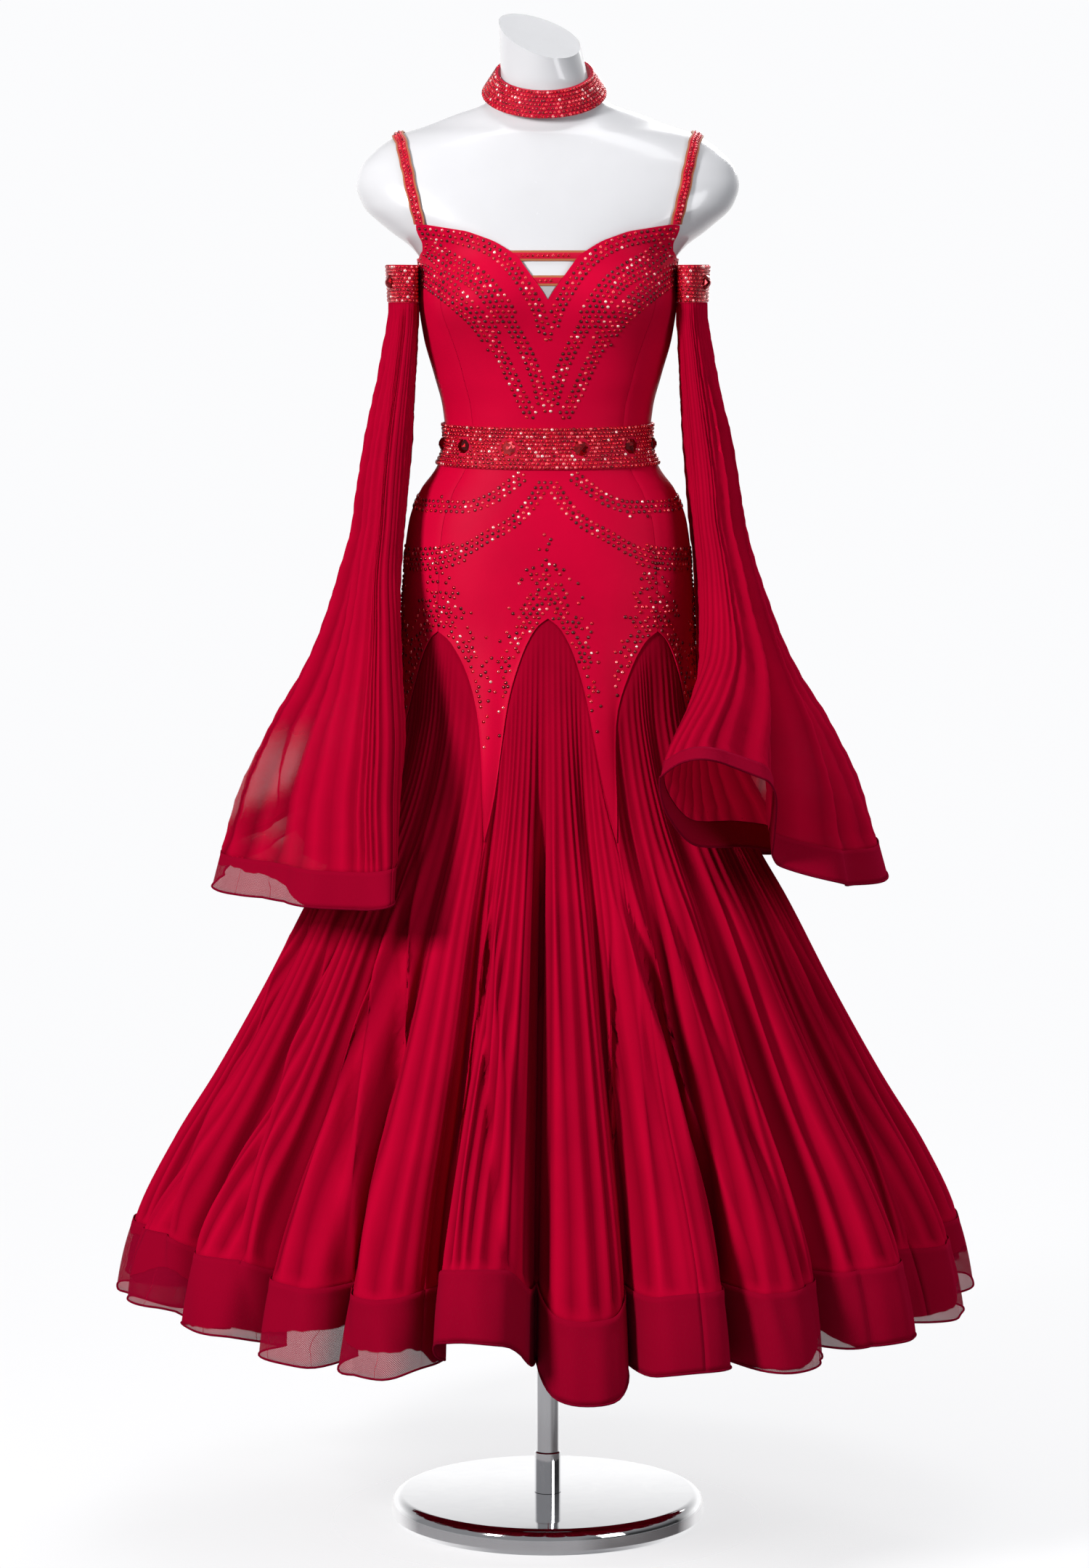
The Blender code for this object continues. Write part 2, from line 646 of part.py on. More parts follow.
def godet_grid(k):
    """Angles and heights of a godet's columns, from its slanting seams down to the hem band."""
    columns = 2 * GODET_PLEATS + 1
    s = np.linspace(-1, 1, columns)
    share = np.abs(s)
    top = seam_height(k, share) - seam_clearance(share)
    bottom = HEM + HEM_BAND + SEAM_GAP
    z = np.array([top + (bottom - top) * row for row in GODET_ROWS])
    near = ring_values(SKIRT, z)[1]
    apex = apex_angle(k)
    side = np.where(s < 0, apex - tip_angle(k - 1), tip_angle(k) - apex)
    u = apex + s * side - np.sign(s) * share ** GODET_SIDE_TAPER * SEAM_GAP / near
    return u, z, s


def build_godet(k):
    u, z, s = godet_grid(k)
    below_seam = np.clip((z[0] - z) / PLEAT_START, 0, 1)
    apex_height = GODETS[k].apex_height
    down = np.clip((apex_height - z) / (apex_height - HEM), 0, 1)
    depth = below_seam * (PLEAT_DEPTH_HIP + (PLEAT_DEPTH_HEM - PLEAT_DEPTH_HIP) * down)
    pleats = zigzag(len(s)) * depth - depth
    cloth(f"godet_{k + 1}", u, z, CHIFFON_WALL, CHIFFON, pleats)


def build_hem_band(k):
    """The wide crin braid along one godet's hem."""
    u, _, s = godet_grid(k)
    z = np.array([np.full(len(s), HEM + HEM_BAND), np.full(len(s), HEM)])
    cloth(f"hem_band_{k + 1}", np.broadcast_to(u[-1], z.shape), z, CHIFFON_WALL, CRIN, -PLEAT_DEPTH_HEM)


def float_surface(side, hem_rows):
    """A float's outer face as a function of the angle round it and the height it would hang to."""
    def surface(around, z):
        rows = sorted(FLOAT, key=lambda row: row.z)
        heights = column_of(rows, "z")
        forward_name = "left_front" if side < 0 else "right_front"
        inner, outer, forward, backward = (
            curve_through(z, heights, column_of(rows, name))
            for name in ("inner", "outer", forward_name, "back")
        )
        degrees = np.degrees(around) % 360
        rise = curve_through(degrees, column_of(hem_rows, "around"), column_of(hem_rows, "rise"))
        push = curve_through(degrees, column_of(hem_rows, "around"), column_of(hem_rows, "push"))
        down = np.clip((FLOAT_TOP - z) / (FLOAT_TOP - FLOAT_HEM), 0, 1.1)
        middle = (inner + outer) / 2
        half = (outer - inner) / 2
        fore, aside = (np.sign(part) * np.abs(part) ** FLOAT_ROUNDING for part in
                       (np.cos(around), np.sin(around)))
        azimuth = pi / 2 - np.radians(np.where(fore > 0, forward, backward)) * fore
        radius = middle + half * aside
        swing = push * down ** HEM_PUSH_POWER
        ahead = swing * np.cos(around) ** 2 * np.sign(np.cos(around))
        sideways = swing * np.abs(np.sin(around))
        x = (radius + sideways) * np.sin(azimuth)
        y = -(radius + sideways) * np.cos(azimuth) - ahead
        return np.stack([side * x, y, z + rise * down ** HEM_RISE_POWER + 0 * x], axis=-1)
    return surface


def build_float(label, side, hem_rows):
    """Armlet, the two pleated float panels and the crin bands on their hems, on one side."""
    surface = float_surface(side, hem_rows)

    def grid(heights, around):
        angle, z = np.meshgrid(around, np.array(heights))
        normals = surface_normals(surface, angle, z, FLOAT_TURN_STEP) * side
        return angle, z, surface(angle, z), normals

    def pleated(name, heights, start, stop, paint, pleat_depth):
        around = np.linspace(start + FLOAT_SIDE_GAP, stop - FLOAT_SIDE_GAP, FLOAT_PLEATS + 1)
        angle, z, points, normals = grid(heights, around)
        down = np.clip((FLOAT_TOP - z) / (FLOAT_TOP - FLOAT_HEM), 0, 1)
        fade = np.clip(down / FLOAT_PLEAT_START, 0, 1)
        fade = fade * np.clip(np.abs(np.sin(angle)) / FLOAT_PLEAT_FADE, 0, 1)
        depth = pleat_depth * fade * (FLOAT_PLEAT_TOP_SHARE + (1 - FLOAT_PLEAT_TOP_SHARE) * down)
        outer = points + normals * ((zigzag(len(around)) - 1) * depth)[..., None]
        wall(name, outer, outer - normals * CHIFFON_WALL, False, paint)

    band_top = FLOAT_HEM + FLOAT_BAND
    rows = [FLOAT_TOP + (band_top - FLOAT_TOP) * row for row in FLOAT_ROWS]
    for part, start, stop in (("outer", 0.0, pi), ("inner", pi, 2 * pi)):
        pleated(f"float_{label}_{part}", rows, start, stop, CHIFFON, FLOAT_PLEAT_DEPTH)
        pleated(f"float_band_{label}_{part}", [band_top - SEAM_GAP, FLOAT_HEM], start, stop, CRIN, 0.0)
    around = np.linspace(0, 2 * pi, ARMLET_COLUMNS, endpoint=False)
    _, _, outer, normals = grid([ARMLET_TOP, FLOAT_TOP + SEAM_GAP], around)
    wall(f"armlet_{label}", outer, outer - normals * ARMLET_WALL, True, STONED)


def build_belt():
    """A stiff shaped belt with large stones standing out of its outer face."""
    angles = panel_columns(0, len(GODETS))[0][:-1]
    rows = []
    for level in (0.5, 0.0, -0.5):
        z = belt_edge(angles, level)
        rows.append(dress_surface(angles, z) + surface_normals(dress_surface, angles, z) * BELT_EASE)
    top, middle, low = rows
    normal = surface_normals(dress_surface, angles, belt_edge(angles, 0.0))
    inner = np.array([
        middle + (top - middle) * 2 * level if level >= 0 else middle + (low - middle) * -2 * level
        for level in BELT_LEVELS
    ])
    raised = np.full(inner.shape[:2], BELT_WALL)
    for degrees in BELT_GEM_ANGLES:
        column = int(np.argmin(np.abs(angles - radians(degrees))))
        raised[BELT_LEVELS.index(0.0), column] += GEM_HEIGHT
    wall("belt", inner + normal * raised[..., None], inner, True, STONED)


def build_choker():
    """A conical stoned band that lies round the base of the neck, lower in front."""
    angles = np.linspace(0, 2 * pi, CHOKER_COLUMNS, endpoint=False)
    tilt = radians(CHOKER_TILT)

    def ring(radius, height):
        x = radius * np.sin(angles)
        y = -radius * np.cos(angles)
        z = height + 0 * x
        return np.stack([
            CHOKER_CENTRE[0] + x,
            CHOKER_CENTRE[1] + y * cos(tilt) - z * sin(tilt),
            CHOKER_CENTRE[2] + y * sin(tilt) + z * cos(tilt),
        ], axis=-1)

    half = CHOKER_HEIGHT / 2
    outer = np.array([ring(CHOKER_TOP_RADIUS + CHOKER_WALL, half),
                      ring(CHOKER_BOTTOM_RADIUS + CHOKER_WALL, -half)])
    inner = np.array([ring(CHOKER_TOP_RADIUS, half), ring(CHOKER_BOTTOM_RADIUS, -half)])
    wall("choker", outer, inner, True, STONED)


def front_angle(x, z):
    """Angle at which the form's front reaches a given x at a height."""
    angles = np.linspace(0, pi / 2, ANGLE_SAMPLES)
    return np.interp(x, figure_surface(angles, np.full(ANGLE_SAMPLES, z))[:, 0], angles)


def strap_line():
    """Angles and heights of a strap's middle line, from the front neckline to the back one."""
    angles = [front_angle(row.x, row.z) for row in STRAP_FRONT] + [pi / 2]
    angles += [radians(row.angle) for row in STRAP_BACK]
    heights = column_of(STRAP_FRONT, "z") + [STRAP_TOP] + column_of(STRAP_BACK, "z")
    steps = np.arange(len(angles))
    along = np.linspace(0, len(angles) - 1, STRAP_ROWS)
    return curve_through(along, steps, angles), curve_through(along, steps, heights)


def build_strap(label, side):
    u, z = strap_line()
    u = u * side
    centre = figure_surface(u, z)
    normal = surface_normals(figure_surface, u, z)
    along = np.gradient(centre, axis=0)
    along /= np.linalg.norm(along, axis=-1, keepdims=True)
    across = np.cross(normal, along)
    across /= np.linalg.norm(across, axis=-1, keepdims=True)
    for end in (0, -1):
        level = figure_surface(u[end] + TURN_STEP, z[end]) - figure_surface(u[end] - TURN_STEP, z[end])
        across[end] = level / np.linalg.norm(level) * np.sign(level @ across[end])
    shares = np.array([-0.5, 0.0, 0.5])
    lift = FORM_EASE + STRAP_EASE
    inner = centre[:, None] + across[:, None] * shares[None, :, None] * STRAP_WIDTH + normal[:, None] * lift
    outer = inner + normal[:, None] * STRAP_WALL
    wall(f"strap_{label}", outer, inner, False, STONED)


def build_bars():
    """Two stoned bars across the V of the neckline, lying in the bodice's surface."""
    near_v = panel_columns(0, 1)[0][:3]
    for i, centre in enumerate(BAR_CENTRES):
        heights = np.array([centre + BAR_HEIGHT / 2, centre - BAR_HEIGHT / 2])
        edge = np.interp(heights, neckline(near_v), near_v) - BAR_SIDE_GAP
        u = edge[:, None] * np.linspace(-1, 1, BAR_COLUMNS)
        z = np.repeat(heights[:, None], BAR_COLUMNS, axis=1)
        cloth(f"neck_bar_{i + 1}", u, z, BODICE_WALL, STONED)


def build_all():
    clear_scene()
    build_stand()
    build_form()
    for name, first, last in (
        ("panel_front", -1, 1),
        ("panel_side_front_right", 1, 2),
        ("panel_side_back_right", 2, 3),
        ("panel_back_right", 3, 4),
        ("panel_back_left", 4, 5),
        ("panel_side_back_left", 5, 6),
        ("panel_side_front_left", 6, 7),
    ):
        build_panel(name, first, last)
    for k in range(len(GODETS)):
        build_godet(k)
        build_hem_band(k)
    build_float("left", -1, FLOAT_HEM_LEFT)
    build_float("right", 1, FLOAT_HEM_RIGHT)
    build_belt()
    build_choker()
    build_strap("left", -1)
    build_strap("right", 1)
    build_bars()


build_all()
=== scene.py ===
"""Looks of a red ballroom dance dress on a white dress form, laid out as a Blender add-on.

Metres, +Z up, the front towards -Y. An angle u runs round the body from the centre front (0) towards +X.
"""
from collections import namedtuple
from math import cos, pi, radians, sin

import bmesh
import bpy
import numpy as np
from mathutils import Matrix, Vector


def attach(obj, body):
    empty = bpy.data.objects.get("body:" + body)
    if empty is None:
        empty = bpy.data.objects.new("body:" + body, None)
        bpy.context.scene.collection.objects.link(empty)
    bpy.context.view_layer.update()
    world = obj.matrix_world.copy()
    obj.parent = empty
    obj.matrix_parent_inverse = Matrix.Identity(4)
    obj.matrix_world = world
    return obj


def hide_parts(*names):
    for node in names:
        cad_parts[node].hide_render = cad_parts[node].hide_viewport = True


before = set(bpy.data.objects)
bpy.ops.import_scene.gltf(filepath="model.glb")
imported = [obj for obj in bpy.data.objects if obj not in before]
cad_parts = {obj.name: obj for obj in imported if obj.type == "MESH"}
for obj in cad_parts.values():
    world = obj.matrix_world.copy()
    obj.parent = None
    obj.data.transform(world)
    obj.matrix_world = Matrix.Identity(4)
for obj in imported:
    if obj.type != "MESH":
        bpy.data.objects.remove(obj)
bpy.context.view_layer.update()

bl_info = {
    "name": "Ballroom dance dress",
    "version": (1, 0, 0),
    "blender": (4, 5, 0),
    "location": "View3D > Sidebar > Dress",
    "description": "Builds a stoned, pleated ballroom dance dress on its dress form",
    "category": "Add Mesh",
}


def rows(kind, text):
    """The rows of a short table: one line of numbers each, in the order of the kind's columns."""
    return tuple(kind(*map(float, line.split())) for line in text.strip().splitlines())


def length_size(name, description, default):
    return bpy.props.FloatProperty(name=name, description=description, default=default, unit="LENGTH")


def pleat_count(name, description, default, most):
    return bpy.props.IntProperty(name=name, description=description, default=default, min=6, max=most)


def cloth_colour(name, description, *levels):
    return bpy.props.FloatVectorProperty(name=name, description=description, subtype="COLOR", size=4,
                                         default=levels + (1.0,), min=0, max=1)


# Shapes shared with the solids
SEAM_GAP = 0.0004
FORM_EASE = 0.0009
FORM_INSET = 0.0034
FORM_INSET_ABOVE_NECKLINE = 0.012
FORM_INSET_FADE = 0.040
BODICE_WALL = 0.0015
CHIFFON_WALL = 0.0007
NORMAL_STEP = 0.0005
TURN_STEP = 0.004

BASE_RADIUS = 0.174
BASE_THICKNESS = 0.028
POLE_RADIUS = 0.0130
SOCKET_RADIUS = 0.0148
SOCKET_HEIGHT = 0.046
NECK_CUT_HEIGHT = 1.640
NECK_CUT_SLOPE_X = -0.30
NECK_CUT_SLOPE_Y = 0.50
NECK_LEAN = -0.12
NECK_LEAN_FROM = 1.566
NECK_TOP_ROW = 1.590
FORM_BOTTOM = 0.930

TONGUE_LEVEL = 0.778
HEM = 0.262
HEM_BAND = 0.078
DRESS_SHELL = FORM_EASE + BODICE_WALL
FITTED_DOWN_TO = 1.020
FITTED_FADE = 0.050
FLUTE_ROUNDING = 0.018
FLUTE_SWING = 0.6
FLUTE_SHARPNESS = 1.75
FLUTE_CARVE = 1.15

FLOAT_TOP = 1.3520
ARMLET_TOP = 1.3930
FLOAT_HEM = 0.7200
FLOAT_BAND = 0.038
FLOAT_ROUNDING = 0.78
FLOAT_TURN_STEP = 0.02
HEM_RISE_POWER = 3
HEM_PUSH_POWER = 5
ARMLET_WALL = 0.0022

BELT_HEIGHT = 0.045
BELT_CENTRE = 1.1990
BELT_TILT = 0.0030
BELT_WALL = 0.0025
BELT_EASE = 0.0004
BELT_GEM_ANGLES = (18, 52, 85, 117, 149, 180, 211, 243, 275, 307, 338)
CHOKER_HEIGHT = 0.025
CHOKER_CENTRE = (-0.004, 0.006, 1.5895)
CHOKER_TILT = 25
CHOKER_TOP_RADIUS = 0.0500
CHOKER_BOTTOM_RADIUS = 0.0650
CHOKER_WALL = 0.0025
STRAP_WIDTH = 0.0130
STRAP_WALL = 0.0022
STRAP_EASE = 0.0006
STRAP_TOP = 1.5332
BAR_HEIGHT = 0.0110
BAR_CENTRES = (1.4030, 1.3765)
BAR_SIDE_GAP = 0.0032

Godet = namedtuple("Godet", "apex next_tip apex_height")
GODETS = rows(Godet, """
    0.0 19.5 1.013
    46.5 67.5 0.997
    90.0 112.5 0.995
    133.5 160.5 0.997
    180.0 199.5 1.01
    226.5 247.5 0.997
    270.0 292.5 0.995
    313.5 340.5 0.997
""")
Ring = namedtuple("Ring", "z half_width front back power set_back", defaults=(0.0,))
# The form's own outline, from its flat underside up to the neck
FIGURE = rows(Ring, """
    0.93 0.15 0.096 0.116 2.2
    1.0 0.1555 0.096 0.118 2.2
    1.066 0.155 0.0935 0.113 2.2
    1.112 0.15 0.088 0.102 2.2
    1.148 0.137 0.082 0.09 2.1
    1.171 0.1205 0.0775 0.082 2.1
    1.2 0.109 0.075 0.077 2.0
    1.238 0.1125 0.078 0.078 2.0
    1.273 0.1215 0.084 0.082 2.1
    1.316 0.1332 0.092 0.087 2.1
    1.36 0.1388 0.098 0.09 2.2
    1.398 0.1395 0.092 0.09 2.2
    1.41 0.147 0.09 0.0895 2.2
    1.432 0.175 0.085 0.088 2.3
    1.457 0.201 0.0775 0.084 2.3
    1.479 0.208 0.07 0.078 2.3 0.002
    1.496 0.204 0.063 0.071 2.3 0.005
    1.516 0.188 0.054 0.064 2.1 0.01
    1.533 0.163 0.046 0.059 1.8 0.016
    1.545 0.128 0.039 0.055 1.6 0.02
    1.556 0.1 0.037 0.05 1.5 0.02
    1.566 0.071 0.0385 0.045 1.7 0.016
    1.578 0.053 0.042 0.041 1.9 0.008
    1.6 0.046 0.048 0.038 2.0
    1.68 0.043 0.054 0.034 2.0
""")
# The dress below the hips, measured to the crests of its folds
SKIRT = rows(Ring, """
    1.04 0.16 0.098 0.119 2.2
    1.0 0.1615 0.101 0.123 2.1
    0.95 0.166 0.109 0.13 2.1
    0.9 0.1745 0.122 0.141 2.0
    0.85 0.188 0.14 0.156 2.0
    0.8 0.208 0.164 0.177 2.0
    0.75 0.235 0.196 0.206 2.0
    0.7 0.264 0.23 0.237 2.0
    0.6 0.315 0.292 0.296 2.0
    0.5 0.37 0.35 0.352 2.0
    0.42 0.418 0.401 0.4 2.0
    0.35 0.45 0.442 0.436 2.0
    0.28 0.468 0.468 0.46 2.0
    0.22 0.476 0.478 0.47 2.0
""")
Cup = namedtuple("Cup", "angle z angle_spread z_spread depth")
CUPS = (Cup(-34, 1.352, 24, 0.040, 0.019), Cup(34, 1.352, 24, 0.040, 0.019))
EdgeRow = namedtuple("EdgeRow", "angle z")
# The bodice's top edge: V and sweetheart neckline, armhole, low back
NECKLINE = rows(EdgeRow, """
    0.0 1.356
    2.4 1.366
    13.1 1.403
    21.2 1.419
    28.9 1.429
    39.2 1.434
    44.0 1.436
    48.5 1.435
    51.5 1.4275
    56.0 1.4175
    63.0 1.408
    76.0 1.4
    92.0 1.399
    112.0 1.393
    123.5 1.378
    140.0 1.378
    152.0 1.346
    180.0 1.32
""")
SeamRow = namedtuple("SeamRow", "share drop")
# A godet's slanting seam: share of the way to the tip round the body, and share of the way down to it
GODET_SEAM = rows(SeamRow, """
    0.0 0.0
    0.2 0.035
    0.42 0.12
    0.6 0.24
    0.76 0.4
    0.86 0.6
    0.94 0.84
    1.0 1.0
""")
Flute = namedtuple("Flute", "angle depth lift")
# The hem's standing folds, round the body: crest angle, depth of the valley after it, lift of the crest
FLUTES = rows(Flute, """
    -82 0.06 0.014
    -66 0.062 0.026
    -50 0.066 0.02
    -36 0.058 0.0
    -24 0.07 -0.006
    -9 0.085 0.05
    5 0.085 -0.028
    19 0.068 0.006
    34 0.07 -0.006
    52 0.062 0.002
    72 0.06 0.0
    90 0.06 0.006
    106 0.064 0.014
    121 0.066 0.006
    137 0.06 0.016
    152 0.066 0.008
    168 0.062 0.012
    184 0.068 0.004
    199 0.06 0.014
    215 0.066 0.01
    231 0.062 0.006
    246 0.058 0.014
    262 0.062 0.008
""")
FluteRow = namedtuple("FluteRow", "z share")
# How far up the skirt the standing folds reach
FLUTE_REACH = rows(FluteRow, """
    0.22 1.0
    0.3 0.95
    0.36 0.84
    0.5 0.58
    0.65 0.34
    0.8 0.14
    0.92 0.03
    1.0 0.0
""")

Crease = namedtuple("Crease", "top top_angle hem_angle width depth")

# Troughs laid between the standing folds: where each starts and ends, in degrees
CREASES = rows(Crease, """
    0.84 -2.5 0.0 4.2 0.03
    0.77 -15.5 -5.5 2.3 0.019
    0.72 -12.5 -14.5 2.6 0.022
    0.76 18.2 29.5 2.7 0.033
    0.72 17.2 12.5 2.4 0.026
    0.79 31.0 37.5 2.4 0.018
    0.77 50.0 49.5 2.6 0.018
    0.74 73.5 66.5 2.8 0.019
    0.82 -41.0 -25.0 2.5 0.021
    0.75 -43.0 -31.0 2.1 0.018
    0.74 -62.0 -46.0 2.8 0.022
    0.72 -82.0 -62.5 3.0 0.021
    0.78 95.0 99.5 2.6 0.019
    0.73 109.0 113.5 2.3 0.018
    0.75 120.5 129.0 2.8 0.024
    0.8 141.0 145.0 2.4 0.018
    0.72 158.0 152.0 2.6 0.022
    0.77 168.5 176.0 2.8 0.021
    0.82 186.0 191.5 3.4 0.027
    0.75 204.0 200.5 2.4 0.018
    0.74 220.5 229.0 2.8 0.022
    0.79 241.0 236.5 2.4 0.019
    0.73 251.0 258.5 2.7 0.022
    0.76 268.0 270.5 2.5 0.018
""")

LiningRow = namedtuple("LiningRow", "angle share")

# How much of the crin hem's height is backed with chiffon, round the body
LINING = rows(LiningRow, """
    -90 0.5
    -84 0.16
    -76 0.2
    -69 0.75
    -63 0.4
    -52 0.95
    -41 0.78
    -33 0.5
    -22 0.66
    -15 1.05
    26 1.05
    33 0.92
    40 0.62
    50 1.02
    66 0.95
    76 0.5
    88 0.42
    98 1.0
    112 0.6
    127 1.02
    145 0.62
    160 1.0
    178 0.68
    192 1.02
    208 0.58
    224 1.0
    238 0.62
    254 1.0
    270 0.7
""")

PLEAT_COLUMNS = 6
SEAM_LAP = 0.005
BAND_LAP = 0.006
# How much wider the stoned bands lie than their tables say
BAND_FULLNESS = 1.3
# Bust and hip heights, where a panel's width is taken
GIRTHS = (1.352, 1.060)
# Strength of the painted glow on the floats' inner side, which stands in for light let through the chiffon
PAINTED_INNER_GLOW = 0.42
# The crin's slanting threads and its upright ribs
THREAD_PITCH = 0.0022
RIB_PITCH = 0.060
# A usual distance of the bodice from its axis, which turns short lengths into angles
NEAR_RADIUS = 0.12
# Where the floats' sheer part starts, is full and ends, going down
SHEER_TOP = 0.92
SHEER_FADE = 0.06
SHEER_LOW = 0.768
SHEER_LOW_FADE = 0.035
# Where a float's panels turn sheer round it, in degrees
SHEER_PART = {"left": (56, 240), "right": (98, 150)}
FloatRow = namedtuple("FloatRow", "z inner outer left_front right_front back")
# The float's inner and outer distance from the body's axis, and its reach round the body in degrees
FLOAT = rows(FloatRow, """
    1.4 0.1422 0.1765 20 20 20
    1.352 0.1422 0.174 20 20 20
    1.288 0.145 0.183 21 21 21
    1.225 0.149 0.1955 22 22 22
    1.162 0.154 0.207 24 23 23
    1.112 0.16 0.214 26 25 24
    1.068 0.165 0.226 29 27 26
    1.004 0.17 0.247 36 32 30
    0.941 0.1765 0.276 43 40 35
    0.89 0.187 0.308 49 50 41
    0.82 0.215 0.341 54 61 48
    0.77 0.242 0.356 57 66 53
    0.7 0.28 0.374 60 70 57
""")
FloatHem = namedtuple("FloatHem", "around rise push")
# Round a float from its front fold (0) over the outside (90) and the back fold (180): how much the hem
# rises, and how far it swings outwards
FLOAT_HEM_LEFT = rows(FloatHem, """
    0 0.006 0.004
    35 0.0 -0.012
    60 0.004 0.006
    90 0.0 0.0
    120 0.03 -0.016
    150 0.07 0.004
    180 0.09 0.0
    225 0.08 0.002
    270 0.05 0.003
    315 0.02 0.002
    360 0.006 0.004
""")
FLOAT_HEM_RIGHT = rows(FloatHem, """
    0 0.15 0.055
    22 0.172 0.06
    42 0.146 0.036
    58 0.04 -0.006
    76 0.01 0.0
    90 0.004 0.002
    120 0.006 -0.016
    150 0.012 0.004
    180 0.014 0.0
    225 0.006 0.002
    262 0.018 0.003
    300 0.056 0.003
    322 0.066 0.012
    342 0.104 0.036
    360 0.15 0.055
""")

FloatFold = namedtuple("FloatFold", "around drift width depth start")

# Troughs down a float: where round it each starts, how far it drifts, its width in degrees, its depth
# at the hem and the height where it starts
FLOAT_FOLDS_LEFT = rows(FloatFold, """
    34 -4 11 0.009 1.28
    52 3 9 0.01 1.1
    68 -5 10 0.013 1.33
    88 4 8 0.01 1.2
    104 6 11 0.012 1.3
    128 -3 10 0.011 1.15
    148 4 11 0.012 1.3
    212 5 12 0.011 1.28
    238 -4 10 0.01 1.16
    262 3 11 0.012 1.3
    290 -5 10 0.01 1.18
    322 4 12 0.011 1.3
""")

FLOAT_FOLDS_RIGHT = rows(FloatFold, """
    30 3 10 0.008 1.24
    52 4 10 0.036 1.3
    70 4 8 0.011 1.12
    82 -4 10 0.012 1.28
    101 5 9 0.01 1.2
    118 -3 11 0.013 1.32
    143 4 10 0.011 1.18
    206 -4 12 0.011 1.3
    232 4 10 0.01 1.2
    258 -3 11 0.012 1.32
    286 4 10 0.01 1.16
""")
StrapRow = namedtuple("StrapRow", "x z")
# A strap's middle line up the front of the shoulder, seen from the front
STRAP_FRONT = rows(StrapRow, """
    0.137 1.4366
    0.1395 1.447
    0.144 1.465
    0.149 1.486
    0.153 1.502
    0.1562 1.515
    0.1585 1.525
""")
# And down the back: angle from the centre front, and height
STRAP_BACK = rows(EdgeRow, """
    110 1.529
    122 1.515
    129 1.495
    132 1.47
    132 1.445
    132 1.42
    132 1.3984
    132 1.3786
""")

# Where the stones lie
BandRow = namedtuple("BandRow", "angle z width")
# Stoned bands on one half of the front, which the other half mirrors: middle line and width
NECK_BAND = rows(BandRow, """
    52.0 1.427 0.012
    39.2 1.424 0.013
    29.0 1.417 0.014
    21.5 1.405 0.014
    14.0 1.386 0.014
    8.0 1.364 0.013
    3.6 1.342 0.011
    0.8 1.312 0.006
""")
CHEST_BAND = rows(BandRow, """
    78.0 1.396 0.016
    61.5 1.413 0.017
    43.5 1.395 0.018
    28.5 1.377 0.018
    20.5 1.354 0.017
    15.0 1.326 0.016
    10.0 1.3 0.015
    4.5 1.264 0.012
    1.5 1.236 0.006
""")
SIDE_BAND = rows(BandRow, """
    88.0 1.374 0.016
    70.0 1.382 0.017
    47.0 1.37 0.018
    35.0 1.352 0.018
    28.0 1.331 0.017
    23.0 1.303 0.016
    18.5 1.275 0.015
    13.5 1.248 0.013
    7.5 1.227 0.008
""")
HIP_BAND = rows(BandRow, """
    12.0 1.168 0.008
    18.0 1.156 0.011
    26.0 1.141 0.015
    38.0 1.133 0.016
    60.0 1.133 0.016
    85.0 1.136 0.015
    120.0 1.142 0.013
    150.0 1.152 0.012
    176.0 1.166 0.007
""")
LOW_HIP_BAND = rows(BandRow, """
    1.5 1.16 0.01
    8.5 1.133 0.012
    15.0 1.116 0.013
    24.5 1.102 0.015
    33.5 1.088 0.016
    49.0 1.077 0.017
    80.0 1.074 0.016
    115.0 1.082 0.014
    148.0 1.098 0.013
    177.0 1.13 0.008
""")
BACK_BAND = rows(BandRow, """
    128.0 1.368 0.012
    140.0 1.364 0.013
    152.0 1.334 0.013
    166.0 1.318 0.012
    177.0 1.307 0.008
""")
SprayRow = namedtuple("SprayRow", "rise reach thick")
# The sprays of stones over the godets: height over the apex, how far they reach to each side of the
# middle or the seam, and how thickly they lie
SPRAY = rows(SprayRow, """
    -0.15 0.004 0.3
    -0.11 0.01 0.6
    -0.07 0.017 0.9
    -0.03 0.027 1.0
    0.0 0.036 1.0
    0.03 0.03 0.85
    0.06 0.018 0.6
    0.088 0.006 0.4
""")


class DressSizes(bpy.types.PropertyGroup):
    """Sizes that a maker would change."""

    godet_pleats: pleat_count("Godet pleats", "Pleats in each of the eight godets", 21, 25)
    godet_pleat_depth: length_size("Godet pleat depth", "Depth of a godet's pleats at the hem", 0.0078)
    float_pleats: pleat_count("Float pleats", "Pleats in each of a float's two panels", 24, 40)
    float_pleat_depth: length_size("Float pleat depth", "Depth of a float's pleats at its hem", 0.0075)
    stone: length_size("Stone", "Width of the small cut stones", 0.0041)
    stone_pitch: length_size("Stone pitch", "Distance between stones along a band", 0.0067)
    row_pitch: length_size("Row pitch", "Distance between the rows of a band", 0.0055)
    gem: length_size("Gem", "Width of the large cut stones", 0.0165)
    binding: length_size("Hem binding", "Thickness of the bound edge of the crin", 0.0024)


class DressColours(bpy.types.PropertyGroup):
    """Colours that a maker would change."""

    crepe: cloth_colour("Crepe", "Satin crepe of the bodice", 0.50, 0.0010, 0.028)
    chiffon: cloth_colour("Chiffon", "Pleated chiffon of the godets and floats", 0.305, 0.0008, 0.017)
    crin: cloth_colour("Crin", "Crin braid of the hems", 0.265, 0.0018, 0.021)
    stone: cloth_colour("Stone", "Bright red of the cut stones", 0.85, 0.006, 0.022)
    form: cloth_colour("Form", "Gloss white of the dress form", 0.60, 0.605, 0.625)
    elastic: cloth_colour("Elastic", "Tan elastic at the edges of straps and bars", 0.34, 0.10, 0.035)


